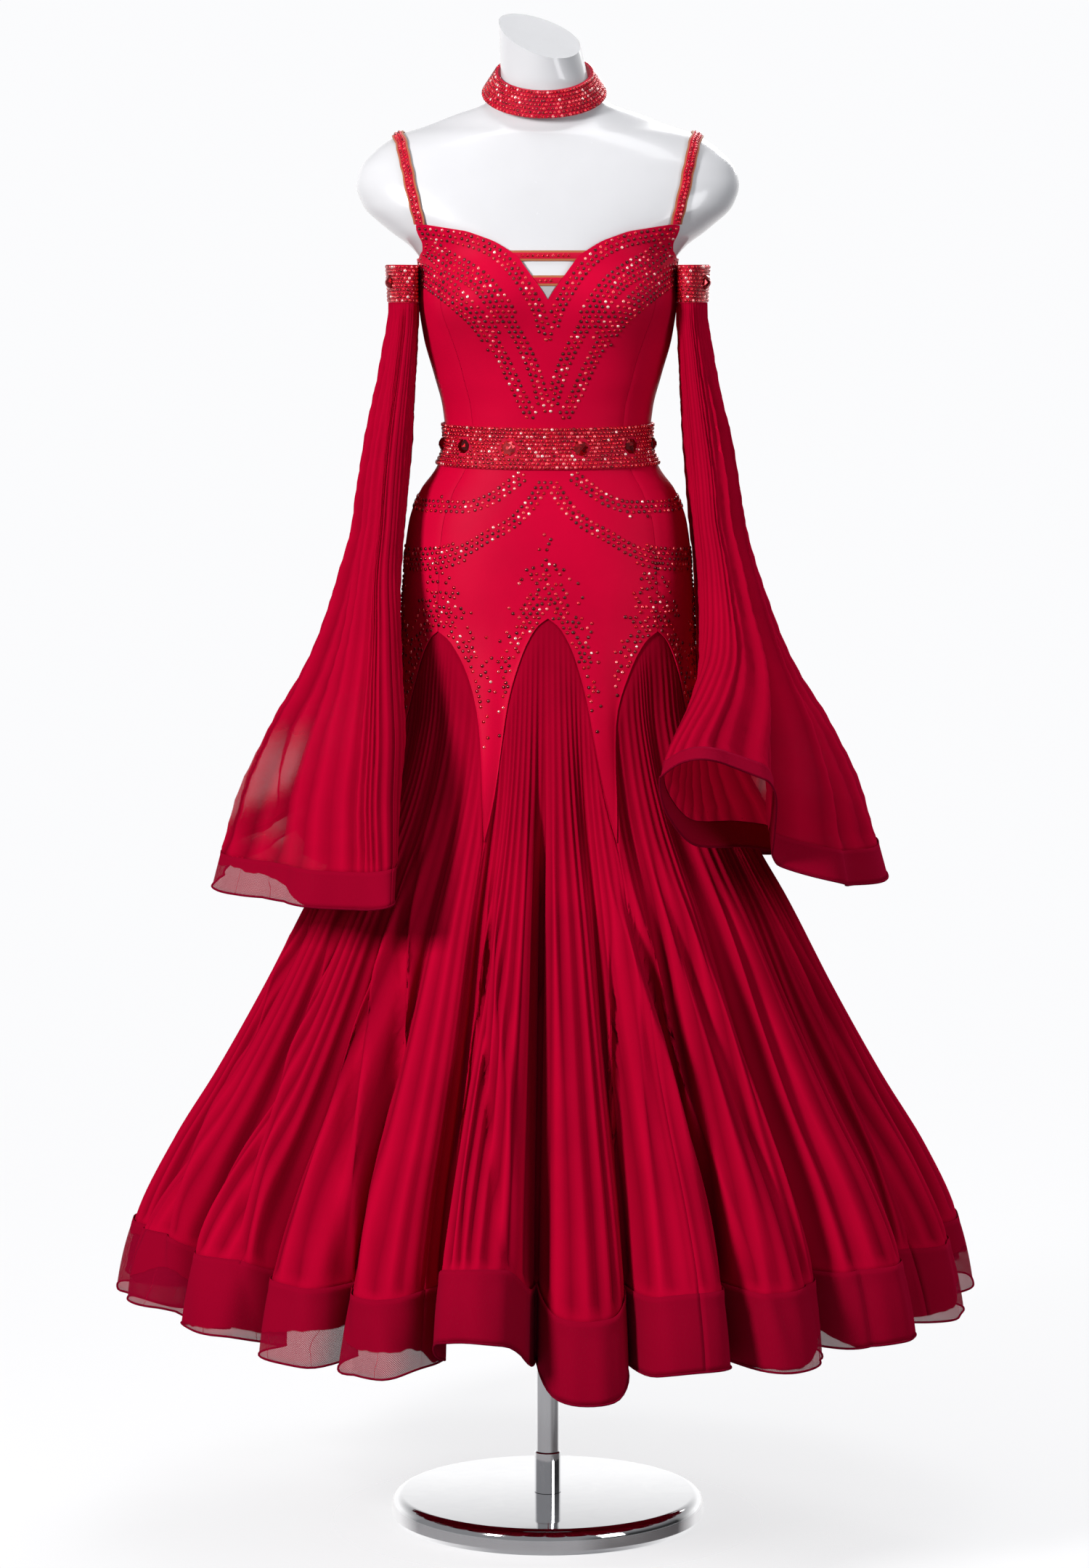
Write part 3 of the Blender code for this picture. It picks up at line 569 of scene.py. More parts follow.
def curve_through(x, xs, values):
    """A smooth curve through a short table, with slopes limited so that it never overshoots."""
    xs, values = np.asarray(xs, float), np.asarray(values, float)
    steps = np.diff(xs)
    slopes = np.diff(values) / steps
    inner = np.where(
        slopes[:-1] * slopes[1:] > 0,
        2 * slopes[:-1] * slopes[1:] / (slopes[:-1] + slopes[1:] + 1e-12 * np.sign(slopes[1:] + 1e-30)),
        0.0,
    )
    tangents = np.concatenate([[slopes[0]], inner, [slopes[-1]]])
    x = np.clip(x, xs[0], xs[-1])
    i = np.clip(np.searchsorted(xs, x, side="right") - 1, 0, len(steps) - 1)
    t = (x - xs[i]) / steps[i]
    return (
        values[i] * (1 + 2 * t) * (1 - t) ** 2
        + tangents[i] * steps[i] * t * (1 - t) ** 2
        + values[i + 1] * t * t * (3 - 2 * t)
        + tangents[i + 1] * steps[i] * t * t * (t - 1)
    )


def column_of(rows, name):
    return [getattr(row, name) for row in rows]


def look_up(x, rows, key, name):
    """A value from a table of rows, read smoothly by another of its columns."""
    rising = sorted(rows, key=lambda row: getattr(row, key))
    return curve_through(x, column_of(rising, key), column_of(rising, name))


def ring_values(rows, z):
    return [look_up(z, rows, "z", name) for name in Ring._fields[1:]]


def ring_point(u, z, values):
    """A point on a ring whose front and back depths differ, rounded by its power."""
    half_width, front, back, power, set_back = values
    across, along = np.sin(u), np.cos(u)
    squareness = (np.abs(across) ** power + np.abs(along) ** power) ** (-1 / power)
    x = half_width * across * squareness + NECK_LEAN * np.maximum(z - NECK_LEAN_FROM, 0)
    y = -np.where(along > 0, front, back) * along * squareness + set_back * across ** 2
    return np.stack([x, y, z + 0 * x], axis=-1)


def cup_swell(u, z):
    """How far the bust cups swell outwards at an angle and height."""
    swell = 0.0
    for cup in CUPS:
        turn = (np.degrees(u) - cup.angle + 180) % 360 - 180
        swell = swell + cup.depth * np.exp(
            -((turn / cup.angle_spread) ** 2) - ((z - cup.z) / cup.z_spread) ** 2
        )
    return swell


def outward(u, z):
    """Level unit vectors away from the axis."""
    return np.stack([np.sin(u), -np.cos(u), 0 * u], axis=-1) * np.ones_like(z)[..., None]


def smooth(t):
    """An even step from 0 to 1."""
    t = np.clip(t, 0, 1)
    return t * t * (3 - 2 * t)


def normalised(vectors):
    return vectors / np.linalg.norm(vectors, axis=-1, keepdims=True)


def figure_surface(u, z):
    """The dress form's own skin."""
    return ring_point(u, z, ring_values(FIGURE, z)) + outward(u, z) * cup_swell(u, z)[..., None]


def flute_phase(u):
    """Turns counted from one standing fold's crest to the next."""
    crests = np.array(column_of(FLUTES, "angle"), float)
    wrapped = np.concatenate([crests, [crests[0] + 360]])
    degrees = (np.degrees(u) - crests[0]) % 360 + crests[0]
    return np.interp(degrees, wrapped, np.arange(len(wrapped)))


def flute_value(phase, name):
    values = column_of(FLUTES, name)
    return curve_through(phase % len(values), np.arange(len(values) + 1), values + values[:1])


def crease_lift(u, z):
    """Troughs with a low ridge along each side."""
    degrees = np.degrees(u)
    lift = 0.0 * (u + z)
    for crease in CREASES:
        down = np.clip((crease.top - z) / (crease.top - HEM), 0, 1.1)
        centre = crease.top_angle + (crease.hem_angle - crease.top_angle) * down ** 0.8
        away = np.abs((degrees - centre + 180) % 360 - 180) / (crease.width * (0.65 + 0.35 * down))
        trough = np.maximum(1 - away, 0) ** 1.5 - 0.35 * np.exp(-(((away - 1.3) / 0.45) ** 2))
        lift = lift - crease.depth * smooth(down / 0.3) * (1 - 0.45 * down) * trough
    return lift


def dress_surface(u, z):
    """The outer face of the dress: the form's shape above the hips, standing folds near the hem."""
    body = ring_values(FIGURE, z)
    skirt = ring_values(SKIRT, z)
    fitted = smooth((z - FITTED_DOWN_TO) / FITTED_FADE)
    eased = [v + DRESS_SHELL for v in body[:3]] + body[3:]
    mixed = [fitted * b + (1 - fitted) * s for b, s in zip(eased, skirt)]
    phase = flute_phase(u)
    share = look_up(z, FLUTE_REACH, "z", "share")
    turn = 2 * pi * phase
    shifted = u + share * FLUTE_ROUNDING * np.sin(turn) / mixed[0]
    valley = flute_value(phase, "depth") * share * (0.5 - 0.5 * np.cos(turn)) ** FLUTE_SHARPNESS
    crest = smooth(1.25 * (0.5 + 0.5 * np.cos(turn)))
    crest_rise = flute_value(phase, "lift") * share ** 2 * crest
    point = ring_point(shifted, z, mixed)
    lift = cup_swell(u, z) - FLUTE_CARVE * valley + FLUTE_SWING * crest_rise + crease_lift(u, z)
    point = point + outward(shifted, z) * lift[..., None]
    point[..., 2] += crest_rise
    return point


def surface_normals(surface, u, z, turn_step=TURN_STEP):
    """Outward unit normals of a surface given by a function of an angle and a height."""
    around = surface(u + turn_step, z) - surface(u - turn_step, z)
    upward = surface(u, z + NORMAL_STEP) - surface(u, z - NORMAL_STEP)
    return normalised(np.cross(around, upward))


def float_surface(side, hem_rows):
    """A float's outer face as a function of the angle round it and the height it would hang to."""
    folds = FLOAT_FOLDS_LEFT if side < 0 else FLOAT_FOLDS_RIGHT

    def surface(around, z):
        forward_name = "left_front" if side < 0 else "right_front"
        inner, outer, forward, backward = (
            look_up(z, FLOAT, "z", name) for name in ("inner", "outer", forward_name, "back")
        )
        degrees = np.degrees(around) % 360
        rise = look_up(degrees, hem_rows, "around", "rise")
        push = look_up(degrees, hem_rows, "around", "push")
        down = np.clip((FLOAT_TOP - z) / (FLOAT_TOP - FLOAT_HEM), 0, 1.1)
        sunk = 0.0 * (around + z)
        for fold in folds:
            begun = np.clip((fold.start - z) / (fold.start - FLOAT_HEM), 0, 1.1)
            away = np.abs(degrees - fold.around - fold.drift * begun) / fold.width
            trough = np.maximum(1 - away, 0) ** 1.4 - 0.3 * np.exp(-(((away - 1.3) / 0.45) ** 2))
            sunk = sunk + fold.depth * smooth(begun / 0.15) * (0.45 + 0.55 * begun) * trough
        middle = (inner + outer) / 2
        half = (outer - inner) / 2
        fore, aside = (np.sign(part) * np.abs(part) ** FLOAT_ROUNDING for part in
                       (np.cos(around), np.sin(around)))
        azimuth = pi / 2 - np.radians(np.where(fore > 0, forward, backward)) * fore
        radius = middle + (half - np.minimum(sunk, half * 0.6)) * aside
        swing = push * down ** HEM_PUSH_POWER
        ahead = swing * np.cos(around) ** 2 * np.sign(np.cos(around))
        sideways = swing * np.abs(np.sin(around))
        x = (radius + sideways) * np.sin(azimuth)
        y = -(radius + sideways) * np.cos(azimuth) - ahead
        return np.stack([side * x, y, z + rise * down ** HEM_RISE_POWER + 0 * x], axis=-1)
    return surface


def apex_angle(k):
    return radians(GODETS[k % len(GODETS)].apex + 360 * (k // len(GODETS)))


def tip_angle(k):
    return radians(GODETS[k % len(GODETS)].next_tip + 360 * (k // len(GODETS)))


def seam_height(k, share):
    """Height of godet k's seam, its share counted from the apex to a tongue's tip."""
    apex = GODETS[k % len(GODETS)].apex_height
    return apex + (TONGUE_LEVEL - apex) * look_up(share, GODET_SEAM, "share", "drop")


def neckline(u):
    """Height of the bodice's top edge at an angle, alike on both sides."""
    folded = np.abs((np.degrees(u) + 180) % 360 - 180)
    return np.interp(folded, column_of(NECKLINE, "angle"), column_of(NECKLINE, "z"))


def belt_edge(u, level):
    """Height of a line round the belt: 0.5 is its top edge and -0.5 its lower edge."""
    return BELT_CENTRE + level * BELT_HEIGHT - BELT_TILT * np.cos(u)


def plug(tree, socket, value):
    """Link a wire to a socket, or set the socket to a plain value."""
    if isinstance(value, Wire):
        tree.links.new(value.socket, socket)
    else:
        socket.default_value = value


class Wire:
    """An output of a shader node. Arithmetic on it adds Math nodes."""

    def __init__(self, tree, socket):
        self.tree = tree
        self.socket = socket

    def maths(self, operation, *values):
        made = self.tree.nodes.new("ShaderNodeMath")
        made.operation = operation
        for socket, value in zip(made.inputs, values):
            plug(self.tree, socket, value)
        return Wire(self.tree, made.outputs[0])

    def __add__(self, other):
        return self.maths("ADD", self, other)

    __radd__ = __add__

    def __sub__(self, other):
        return self.maths("SUBTRACT", self, other)

    def __rsub__(self, other):
        return self.maths("SUBTRACT", other, self)

    def __mul__(self, other):
        return self.maths("MULTIPLY", self, other)

    __rmul__ = __mul__

    def __truediv__(self, other):
        return self.maths("DIVIDE", self, other)

    def __rtruediv__(self, other):
        return self.maths("DIVIDE", other, self)

    def __pow__(self, other):
        return self.maths("POWER", self, other)

    def __abs__(self):
        return self.maths("ABSOLUTE", self)

    def sine(self):
        return self.maths("SINE", self)

    def larger(self, other):
        return self.maths("MAXIMUM", self, other)

    def within(self, low, high):
        """Zero below low and one above high, running evenly between."""
        made = self.tree.nodes.new("ShaderNodeMapRange")
        plug(self.tree, made.inputs["Value"], self)
        made.inputs["From Min"].default_value = low
        made.inputs["From Max"].default_value = high
        return Wire(self.tree, made.outputs[0])


class Nodes:
    """Adds nodes to one shader tree."""

    def __init__(self, tree):
        self.tree = tree

    def node(self, kind, settings=None, sockets=None, out=0):
        """A node: its settings first, then its sockets. Gives one of its outputs."""
        made = self.tree.nodes.new("ShaderNode" + kind)
        settings = dict(settings or {})
        stops = settings.pop("stops", ())
        for label, value in settings.items():
            setattr(made, label, value)
        for i, (position, colour) in enumerate(stops):
            held = made.color_ramp.elements
            stop = held[i] if i < len(held) else held.new(position)
            stop.position = position
            stop.color = colour
        for label, value in (sockets or {}).items():
            plug(self.tree, made.inputs[label], value)
        return Wire(self.tree, made.outputs[out])

    def part(self, vector, index):
        """One of a vector's three parts."""
        return self.node("SeparateXYZ", {}, {0: vector}, index)


class Finish(Nodes):
    """A surface finish: a material with its main shader."""

    def __init__(self, name, constants):
        self.material = bpy.data.materials.new(name)
        self.material.use_nodes = True
        super().__init__(self.material.node_tree)
        self.shader = self.tree.nodes["Principled BSDF"]
        for label, value in constants.items():
            self.shader.inputs[label].default_value = value
        self.place = self.node("TexCoord", out="Object")

    def map(self, label, index):
        """One part of a cloth's map of that name."""
        return self.part(self.node("UVMap", {"uv_map": label}), index)

    def noise(self, scale, detail=2.0, roughness=0.5):
        return self.node("TexNoise", {}, {"Vector": self.place, "Scale": scale, "Detail": detail,
                                          "Roughness": roughness})

    def mixed(self, amount, first, second):
        return self.node("Mix", {"data_type": "RGBA"}, {0: amount, 6: first, 7: second}, 2)

    def bump(self, height, strength, distance):
        return self.node("Bump", {}, {"Height": height, "Strength": strength, "Distance": distance})

    def feed(self, **sockets):
        for label, value in sockets.items():
            plug(self.tree, self.shader.inputs[label.replace("_", " ").title()], value)
        return self.material


def tint(colour, factor):
    """A colour made lighter or darker."""
    return tuple(min(c * factor, 1.0) for c in colour[:3]) + (1.0,)


def crepe_finish(colours):
    """Stretch crepe with a soft satin sheen and a fine pebbled weave."""
    cloth = Finish("satin_crepe", {
        "Sheen Weight": 0.12, "Sheen Roughness": 0.30, "Sheen Tint": (1.0, 0.02, 0.10, 1.0),
        "Specular IOR Level": 0.07, "Specular Tint": (1.0, 0.25, 0.35, 1.0),
    })
    clouds = cloth.noise(11, 3)
    pebbles = cloth.noise(1500, 2, 0.7)
    threads = cloth.node("TexWave", {"wave_type": "BANDS", "bands_direction": "DIAGONAL"},
                         {"Vector": cloth.place, "Scale": 420.0, "Distortion": 1.2, "Detail": 1.0})
    colour = cloth.mixed(clouds.within(0.3, 0.7), tint(colours.crepe, 0.92), tint(colours.crepe, 1.08))
    return cloth.feed(
        base_color=cloth.mixed(pebbles * 0.25, colour, tint(colours.crepe, 0.6)),
        roughness=0.36 + pebbles * 0.16,
        normal=cloth.bump(pebbles * 0.7 + threads * 0.3, 0.22, 0.0005),
    )


def chiffon_finish(colours, name, light, cover=None):
    """Soft chiffon with painted shade in its folds, and light paints all of it lighter or darker. With cover
    it is sheer, more so where its lining map says so, and has a painted glow on its inner side standing in
    for the light it lets through."""
    cloth = Finish(name, {
        "Sheen Weight": 0.10, "Sheen Roughness": 0.40, "Sheen Tint": (1.0, 0.02, 0.12, 1.0),
        "Specular IOR Level": 0.0, "Emission Strength": PAINTED_INNER_GLOW if cover else 0.0,
    })
    clouds = cloth.noise(16, 3)
    grain = cloth.noise(2200, 1, 0.6)
    # crest reads the painted shade level from the lining map: 1 on the pleats' crests, lower in their folds
    # and, on the godets, near their seams. The colour runs from a darkened to a lightened copy of the chiffon
    # by it as painted shade, with random clouds on top.
    crest = cloth.map("lining", 1)
    colour = cloth.mixed(crest + (clouds - 0.5) * 0.3, tint(colours.chiffon, 0.42 * light),
                         tint(colours.chiffon, 1.28 * light))
    sockets = {
        "base_color": cloth.mixed(grain * 0.2, colour, tint(colours.chiffon, 0.65 * light)),
        "roughness": 0.58 + grain * 0.2,
        "normal": cloth.bump(grain, 0.2, 0.0004),
    }
    if cover:
        sockets["alpha"] = cloth.map("lining", 0) * cover + (grain - 0.5) * 0.2
        # Painted glow: the inner side emits the chiffon's own colour, standing in for light coming through
        # the cloth
        sockets["emission_color"] = cloth.mixed(cloth.map("side", 0), (0.0, 0.0, 0.0, 1.0), colour)
    return cloth.feed(**sockets)


def crin_finish(colours, name):
    """Crin braid: a net of slanting threads, backed with chiffon down to a wandering edge."""
    net = Finish(name, {
        "Sheen Weight": 0.06, "Sheen Tint": (1.0, 0.05, 0.2, 1.0), "Specular IOR Level": 0.0,
    })
    backed, level = net.map("lining", 0), net.map("lining", 1)
    along, down = net.map("cloth", 0), net.map("cloth", 1)
    cell = pi / THREAD_PITCH
    threads = abs(((along + down) * cell).sine()).larger(abs(((along - down) * cell).sine())) ** 2.5
    wander = net.noise(22, 2)
    lined = 1 - (level + (wander - 0.5) * 0.3 - backed).within(0.0, 0.04)
    ribs = 1 - abs((along * (pi / RIB_PITCH) + wander * 1.5).sine()).within(0.0, 0.03)
    cover = (0.34 + threads * 0.40 + ribs * 0.25).larger(lined * 0.985)
    colour = net.mixed(threads * 0.5 + 0.25, tint(colours.crin, 0.75), tint(colours.crin, 1.15))
    return net.feed(
        base_color=net.mixed(lined * 0.7, colour, tint(colours.chiffon, 0.72)),
        roughness=0.42 + wander * 0.16,
        alpha=cover,
        normal=net.bump(threads, 0.25, 0.0004),
    )


def stone_finish(colours, name, dark):
    """Foiled red cut glass, each stone a little different, a few painted bright red or pale pink as painted
    highlights.
    """
    glass = Finish(name, {
        "Metallic": 0.92, "Coat Weight": 0.7, "Coat Roughness": 0.03, "Specular IOR Level": 0.5,
    })
    each = glass.node("NewGeometry", out="Random Per Island")
    colour = glass.node("ValToRGB", {"stops": (
        (0.0, tint(colours.stone, dark)),
        (0.45, tint(colours.stone, dark * 2)),
        (0.80, tint(colours.stone, 0.75)),
        # The last two stops are painted highlights: a few stones coloured bright red and pale pink all over
        (0.92, (1.0, 0.10, 0.12, 1.0)),
        (1.0, (1.0, 0.62, 0.58, 1.0)),
    )}, {0: each})
    return glass.feed(base_color=colour, roughness=0.10 + each * 0.14)


def grained_finish(name, constants, noise, colours, rough, grit):
    """A surface whose colour, gloss and grain all follow one fine noise."""
    cloth = Finish(name, constants)
    grain = cloth.noise(*noise)
    return cloth.feed(base_color=cloth.mixed(grain, *colours), roughness=rough[0] + grain * rough[1],
                      normal=cloth.bump(grain, *grit))


def net_finish():
    """Fine grey stretch net."""
    net = Finish("grey_net", {"Specular IOR Level": 0.2})
    holes = net.node("TexVoronoi", {"feature": "DISTANCE_TO_EDGE"}, {"Vector": net.place, "Scale": 700.0})
    return net.feed(
        base_color=net.mixed(holes.within(0.0, 0.3), (0.30, 0.29, 0.30, 1.0), (0.5, 0.49, 0.5, 1.0)),
        roughness=0.6 + holes * 0.2,
        alpha=0.92 - holes.within(0.1, 0.4) * 0.4,
    )


def form_finish(colours):
    """Gloss white lacquer with the faint waviness of a moulded shell."""
    shell = Finish("white_gloss_form", {
        "Coat Weight": 0.35, "Coat Roughness": 0.08, "Specular IOR Level": 0.4,
    })
    waves = shell.noise(26, 3)
    dust = shell.noise(240, 3)
    return shell.feed(
        base_color=shell.mixed(waves.within(0.3, 0.7), tint(colours.form, 0.975), colours.form),
        roughness=0.20 + dust * 0.10,
        normal=shell.bump(waves * 0.8 + dust * 0.05, 0.08, 0.002),
    )


def chrome_finish():
    """Polished chrome plate with faint wipe marks."""
    plate = Finish("polished_chrome", {"Metallic": 1.0})
    wipes = plate.node("TexNoise", {}, {"Vector": plate.place, "Scale": 30.0, "Detail": 4.0,
                                        "Distortion": 1.5})
    return plate.feed(
        base_color=plate.mixed(wipes, (0.80, 0.80, 0.82, 1.0), (0.88, 0.88, 0.89, 1.0)),
        roughness=0.03 + wipes * 0.05,
        normal=plate.bump(wipes, 0.02, 0.001),
    )


def finish_of(key):
    """The finish with that name, made the first time it is asked for."""
    colours = bpy.context.scene.dress_colours
    makers = {
        "satin_crepe": lambda: crepe_finish(colours),
        "godet_chiffon": lambda: chiffon_finish(colours, "godet_chiffon", 1.0),
        "float_chiffon": lambda: chiffon_finish(colours, "float_chiffon", 0.98, 0.94),
        "hem_crin": lambda: crin_finish(colours, "hem_crin"),
        "float_crin": lambda: crin_finish(colours, "float_crin"),
        "hem_binding": lambda: grained_finish("hem_binding", {
            "Sheen Weight": 0.1, "Sheen Tint": (1.0, 0.02, 0.1, 1.0), "Specular IOR Level": 0.0,
        }, (600, 1), (tint(colours.crin, 0.35), tint(colours.crin, 0.75)), (0.40, 0.15), (0.2, 0.0003)),
        "cut_stone": lambda: stone_finish(colours, "cut_stone", 0.13),
        "band_stone": lambda: stone_finish(colours, "band_stone", 0.34),
        "cut_gem": lambda: stone_finish(colours, "cut_gem", 0.15),
        "stone_backing": lambda: grained_finish("stone_backing", {
            "Sheen Weight": 0.1, "Sheen Tint": (1.0, 0.02, 0.1, 1.0), "Specular IOR Level": 0.1,
        }, (900, 2), (tint(colours.crepe, 0.65), tint(colours.crepe, 1.15)), (0.5, 0.2), (0.3, 0.0004)),
        "tan_elastic": lambda: grained_finish("tan_elastic", {
            "Sheen Weight": 0.25, "Specular IOR Level": 0.25,
        }, (1300, 2), (tint(colours.elastic, 0.75), tint(colours.elastic, 1.25)), (0.55, 0.2),
            (0.35, 0.0004)),
        "grey_net": net_finish,
        "white_gloss_form": lambda: form_finish(colours),
        "polished_chrome": chrome_finish,
    }
    return bpy.data.materials.get(key) or makers[key]()


def put(name, mesh, finish):
    """A piece of that mesh, riding on the part's one body."""
    mesh.materials.append(finish_of(finish))
    piece = bpy.data.objects.new(name, mesh)
    bpy.context.scene.collection.objects.link(piece)
    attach(piece, "root")
    return piece


def add_piece(name, points, faces, finish, nodes=(), places=None, sharp=None):
    """A smooth mesh piece that stands for the named solids."""
    mesh = bpy.data.meshes.new(name)
    mesh.from_pydata(np.asarray(points, float).reshape(-1, 3), [], faces)
    work = bmesh.new()
    work.from_mesh(mesh)
    bmesh.ops.recalc_face_normals(work, faces=work.faces)
    work.to_mesh(mesh)
    work.free()
    corners = np.empty(len(mesh.loops), int)
    mesh.loops.foreach_get("vertex_index", corners)
    for label, values in (places or {}).items():
        layer = mesh.uv_layers.new(name=label)
        layer.uv.foreach_set("vector", values[corners].astype(np.float32).ravel())
    mesh.shade_smooth()
    if sharp:
        mesh.set_sharp_from_angle(angle=radians(sharp))
    piece = put(name, mesh, finish)
    if nodes:
        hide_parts(*nodes)
    return piece


def grid_faces(rows, columns, closed):
    """Quads of a grid of rows by columns, whose last column meets its first where it is closed."""
    span = columns if closed else columns - 1
    r, c = np.meshgrid(np.arange(rows - 1), np.arange(span), indexing="ij")
    d = (c + 1) % columns
    quads = np.stack([r * columns + c, (r + 1) * columns + c, (r + 1) * columns + d, r * columns + d], -1)
    return quads.reshape(-1, 4).tolist()


def wall(name, outer, inner, closed, finish, nodes=(), cloth=None, sharp=None, lining=None, level=0):
    """A closed thin piece between two grids of points of the same shape."""
    rows, columns = outer.shape[:2]
    count = rows * columns
    faces = grid_faces(rows, columns, closed)
    faces += [[count + i for i in reversed(face)] for face in faces]
    span = columns if closed else columns - 1
    low = (rows - 1) * columns
    for c in range(span):
        d = (c + 1) % columns
        faces.append([c, d, count + d, count + c])
        faces.append([low + d, low + c, count + low + c, count + low + d])
    if not closed:
        for r in range(rows - 1):
            left, below = r * columns, (r + 1) * columns
            faces.append([below, left, count + left, count + below])
            right, right_below = left + columns - 1, below + columns - 1
            faces.append([right, right_below, count + right_below, count + right])
    points = np.concatenate([outer.reshape(-1, 3), inner.reshape(-1, 3)])
    places = {"cloth": cloth}
    # The lining map holds lining and level: for crin, level is how far down the band; for chiffon, it is the
    # painted shade level of its folds
    if lining is not None:
        places["lining"] = np.stack(np.broadcast_arrays(lining, level, outer[..., 0])[:2], axis=-1)
    places = {label: np.concatenate([values.reshape(-1, 2)] * 2)
              for label, values in places.items() if values is not None}
    places["side"] = np.repeat([[0.0, 0.0], [1.0, 0.0]], count, axis=0)
    return add_piece(name, points, faces, finish, nodes, places, sharp)


def lengths(grid, axis):
    """Distance run along one axis of a grid of points."""
    steps = np.linalg.norm(np.diff(grid, axis=axis), axis=-1)
    start = np.zeros_like(np.take(steps, [0], axis=axis))
    return np.cumsum(np.concatenate([start, steps], axis=axis), axis=axis)


def flat_places(grid):
    """Where each point of a cloth lies when it is flat, in metres: along its hem, and down."""
    along = np.broadcast_to(lengths(grid[-1:], 1), grid.shape[:2])
    return np.stack([along, lengths(grid, 0)], axis=-1)


def cut_sheet(grid, width=None):
    """The size of a piece of cloth's flat cut, which is what its surface adds up to. It is worked out and not
    kept.
    """
    width = width or lengths(grid, 1)[:, -1].max()
    length = lengths(grid, 0)[-1].max()
    a, b, c, d = grid[:-1, :-1], grid[1:, :-1], grid[1:, 1:], grid[:-1, 1:]
    area = (np.linalg.norm(np.cross(b - a, c - a), axis=-1)
            + np.linalg.norm(np.cross(c - a, d - a), axis=-1)).sum() / 2
    width, length = round(float(width), 3), round(float(length), 3)
    area = round(float(np.clip(area, 0.301 * width * length, width * length)), 4)


def turned(name, profile, sides, finish, nodes, sharp=40):
    """A piece turned round a vertical axis from (radius, height) points, lowest first."""
    angles = np.linspace(0, 2 * pi, sides, endpoint=False)
    rings = np.array([[(radius * cos(a), radius * sin(a), height) for a in angles]
                      for radius, height in profile])
    faces = grid_faces(len(profile), sides, True)
    last = (len(profile) - 1) * sides
    faces.append(list(range(sides)))
    faces.append([last + i for i in reversed(range(sides))])
    return add_piece(name, rings, faces, finish, nodes, sharp=sharp)


def tube(name, path, normals, radius, closed, sides, finish, nodes=()):
    """A round roll along a path."""
    along = np.roll(path, -1, 0) - np.roll(path, 1, 0) if closed else np.gradient(path, axis=0)
    across = normalised(np.cross(normalised(along), normals))
    turns = np.linspace(0, 2 * pi, sides, endpoint=False)
    rings = path[None] + radius * (
        np.cos(turns)[:, None, None] * across[None] + np.sin(turns)[:, None, None] * normals[None])
    rings = rings.transpose(1, 0, 2)
    rows = len(path) + 1 if closed else len(path)
    if closed:
        rings = np.concatenate([rings, rings[:1]])
    faces = grid_faces(rows, sides, True)
    if closed:
        rings = rings[:-1]
        faces = [[i % (len(path) * sides) for i in face] for face in faces]
    else:
        faces.append(list(range(sides)))
        faces.append([(rows - 1) * sides + i for i in reversed(range(sides))])
    return add_piece(name, rings, faces, finish, nodes)


def stone_template(sides, crowns):
    """A flat-backed cut stone of radius one: its rings of (radius, height, turn) and a flat table."""
    rings = ((1.0, 0.0, 0.0), (1.0, 0.12, 0.0)) + crowns
    points = [(r * cos(2 * pi * (i + turn) / sides), r * sin(2 * pi * (i + turn) / sides), h)
              for r, h, turn in rings for i in range(sides)]
    faces = [list(reversed(range(sides)))]
    for j in range(len(rings) - 1):
        for i in range(sides):
            a, b = j * sides + i, j * sides + (i + 1) % sides
            c, d = b + sides, a + sides
            if rings[j + 1][2] == rings[j][2]:
                faces.append([a, b, c, d])
            else:
                faces.append([a, b, d])
                faces.append([b, c, d])
    last = (len(rings) - 1) * sides
    faces.append([last + i for i in range(sides)])
    return np.array(points), faces


SMALL_CUT = stone_template(7, ((0.76, 0.46, 0.0), (0.40, 0.62, 0.0)))
GEM_CUT = stone_template(8, ((0.66, 0.40, 0.5), (0.22, 0.62, 0.0)))


def set_stones(name, centres, normals, widths, cut, finish, seed, tilt=0.10, facets=False):
    """One piece of many stones, each set on a point and turned and tilted a little on its own."""
    shape, faces = cut
    chance = np.random.default_rng(seed)
    count = len(centres)
    lean = normalised(normals + chance.normal(0, tilt, (count, 3)))
    helper = normalised(np.cross(lean, np.array([0.31, 0.17, 0.93])))
    other = np.cross(lean, helper)
    spin = chance.uniform(0, 2 * pi, count)[:, None]
    first = helper * np.cos(spin) + other * np.sin(spin)
    second = np.cross(lean, first)
    scale = (widths / 2 * chance.uniform(0.93, 1.05, count))[:, None, None]
    points = centres[:, None] + scale * (
        shape[None, :, 0:1] * first[:, None] + shape[None, :, 1:2] * second[:, None]
        + shape[None, :, 2:3] * lean[:, None])
    size = len(shape)
    joined = [[i * size + j for j in face] for i in range(count) for face in faces]
    mesh = bpy.data.meshes.new(name)
    mesh.from_pydata(points.reshape(-1, 3), [], joined)
    if facets:
        mesh.shade_flat()
    else:
        mesh.shade_smooth()
    return put(name, mesh, finish)


def steps_of(u, z):
    """How the dress's surface moves with the angle and with the height."""
    by_turn = (dress_surface(u + TURN_STEP, z) - dress_surface(u - TURN_STEP, z)) / (2 * TURN_STEP)
    by_rise = (dress_surface(u, z + NORMAL_STEP) - dress_surface(u, z - NORMAL_STEP)) / (2 * NORMAL_STEP)
    return by_turn, by_rise


def moved_on_dress(u, z, step):
    """Angles and heights after a small step in metres over the dress's surface."""
    by_turn, by_rise = steps_of(u, z)
    a, b, c = (np.sum(p * q, -1) for p, q in ((by_turn, by_turn), (by_turn, by_rise), (by_rise, by_rise)))
    e, f = np.sum(by_turn * step, -1), np.sum(by_rise * step, -1)
    spread = a * c - b * b
    return u + (e * c - f * b) / spread, z + (a * f - b * e) / spread


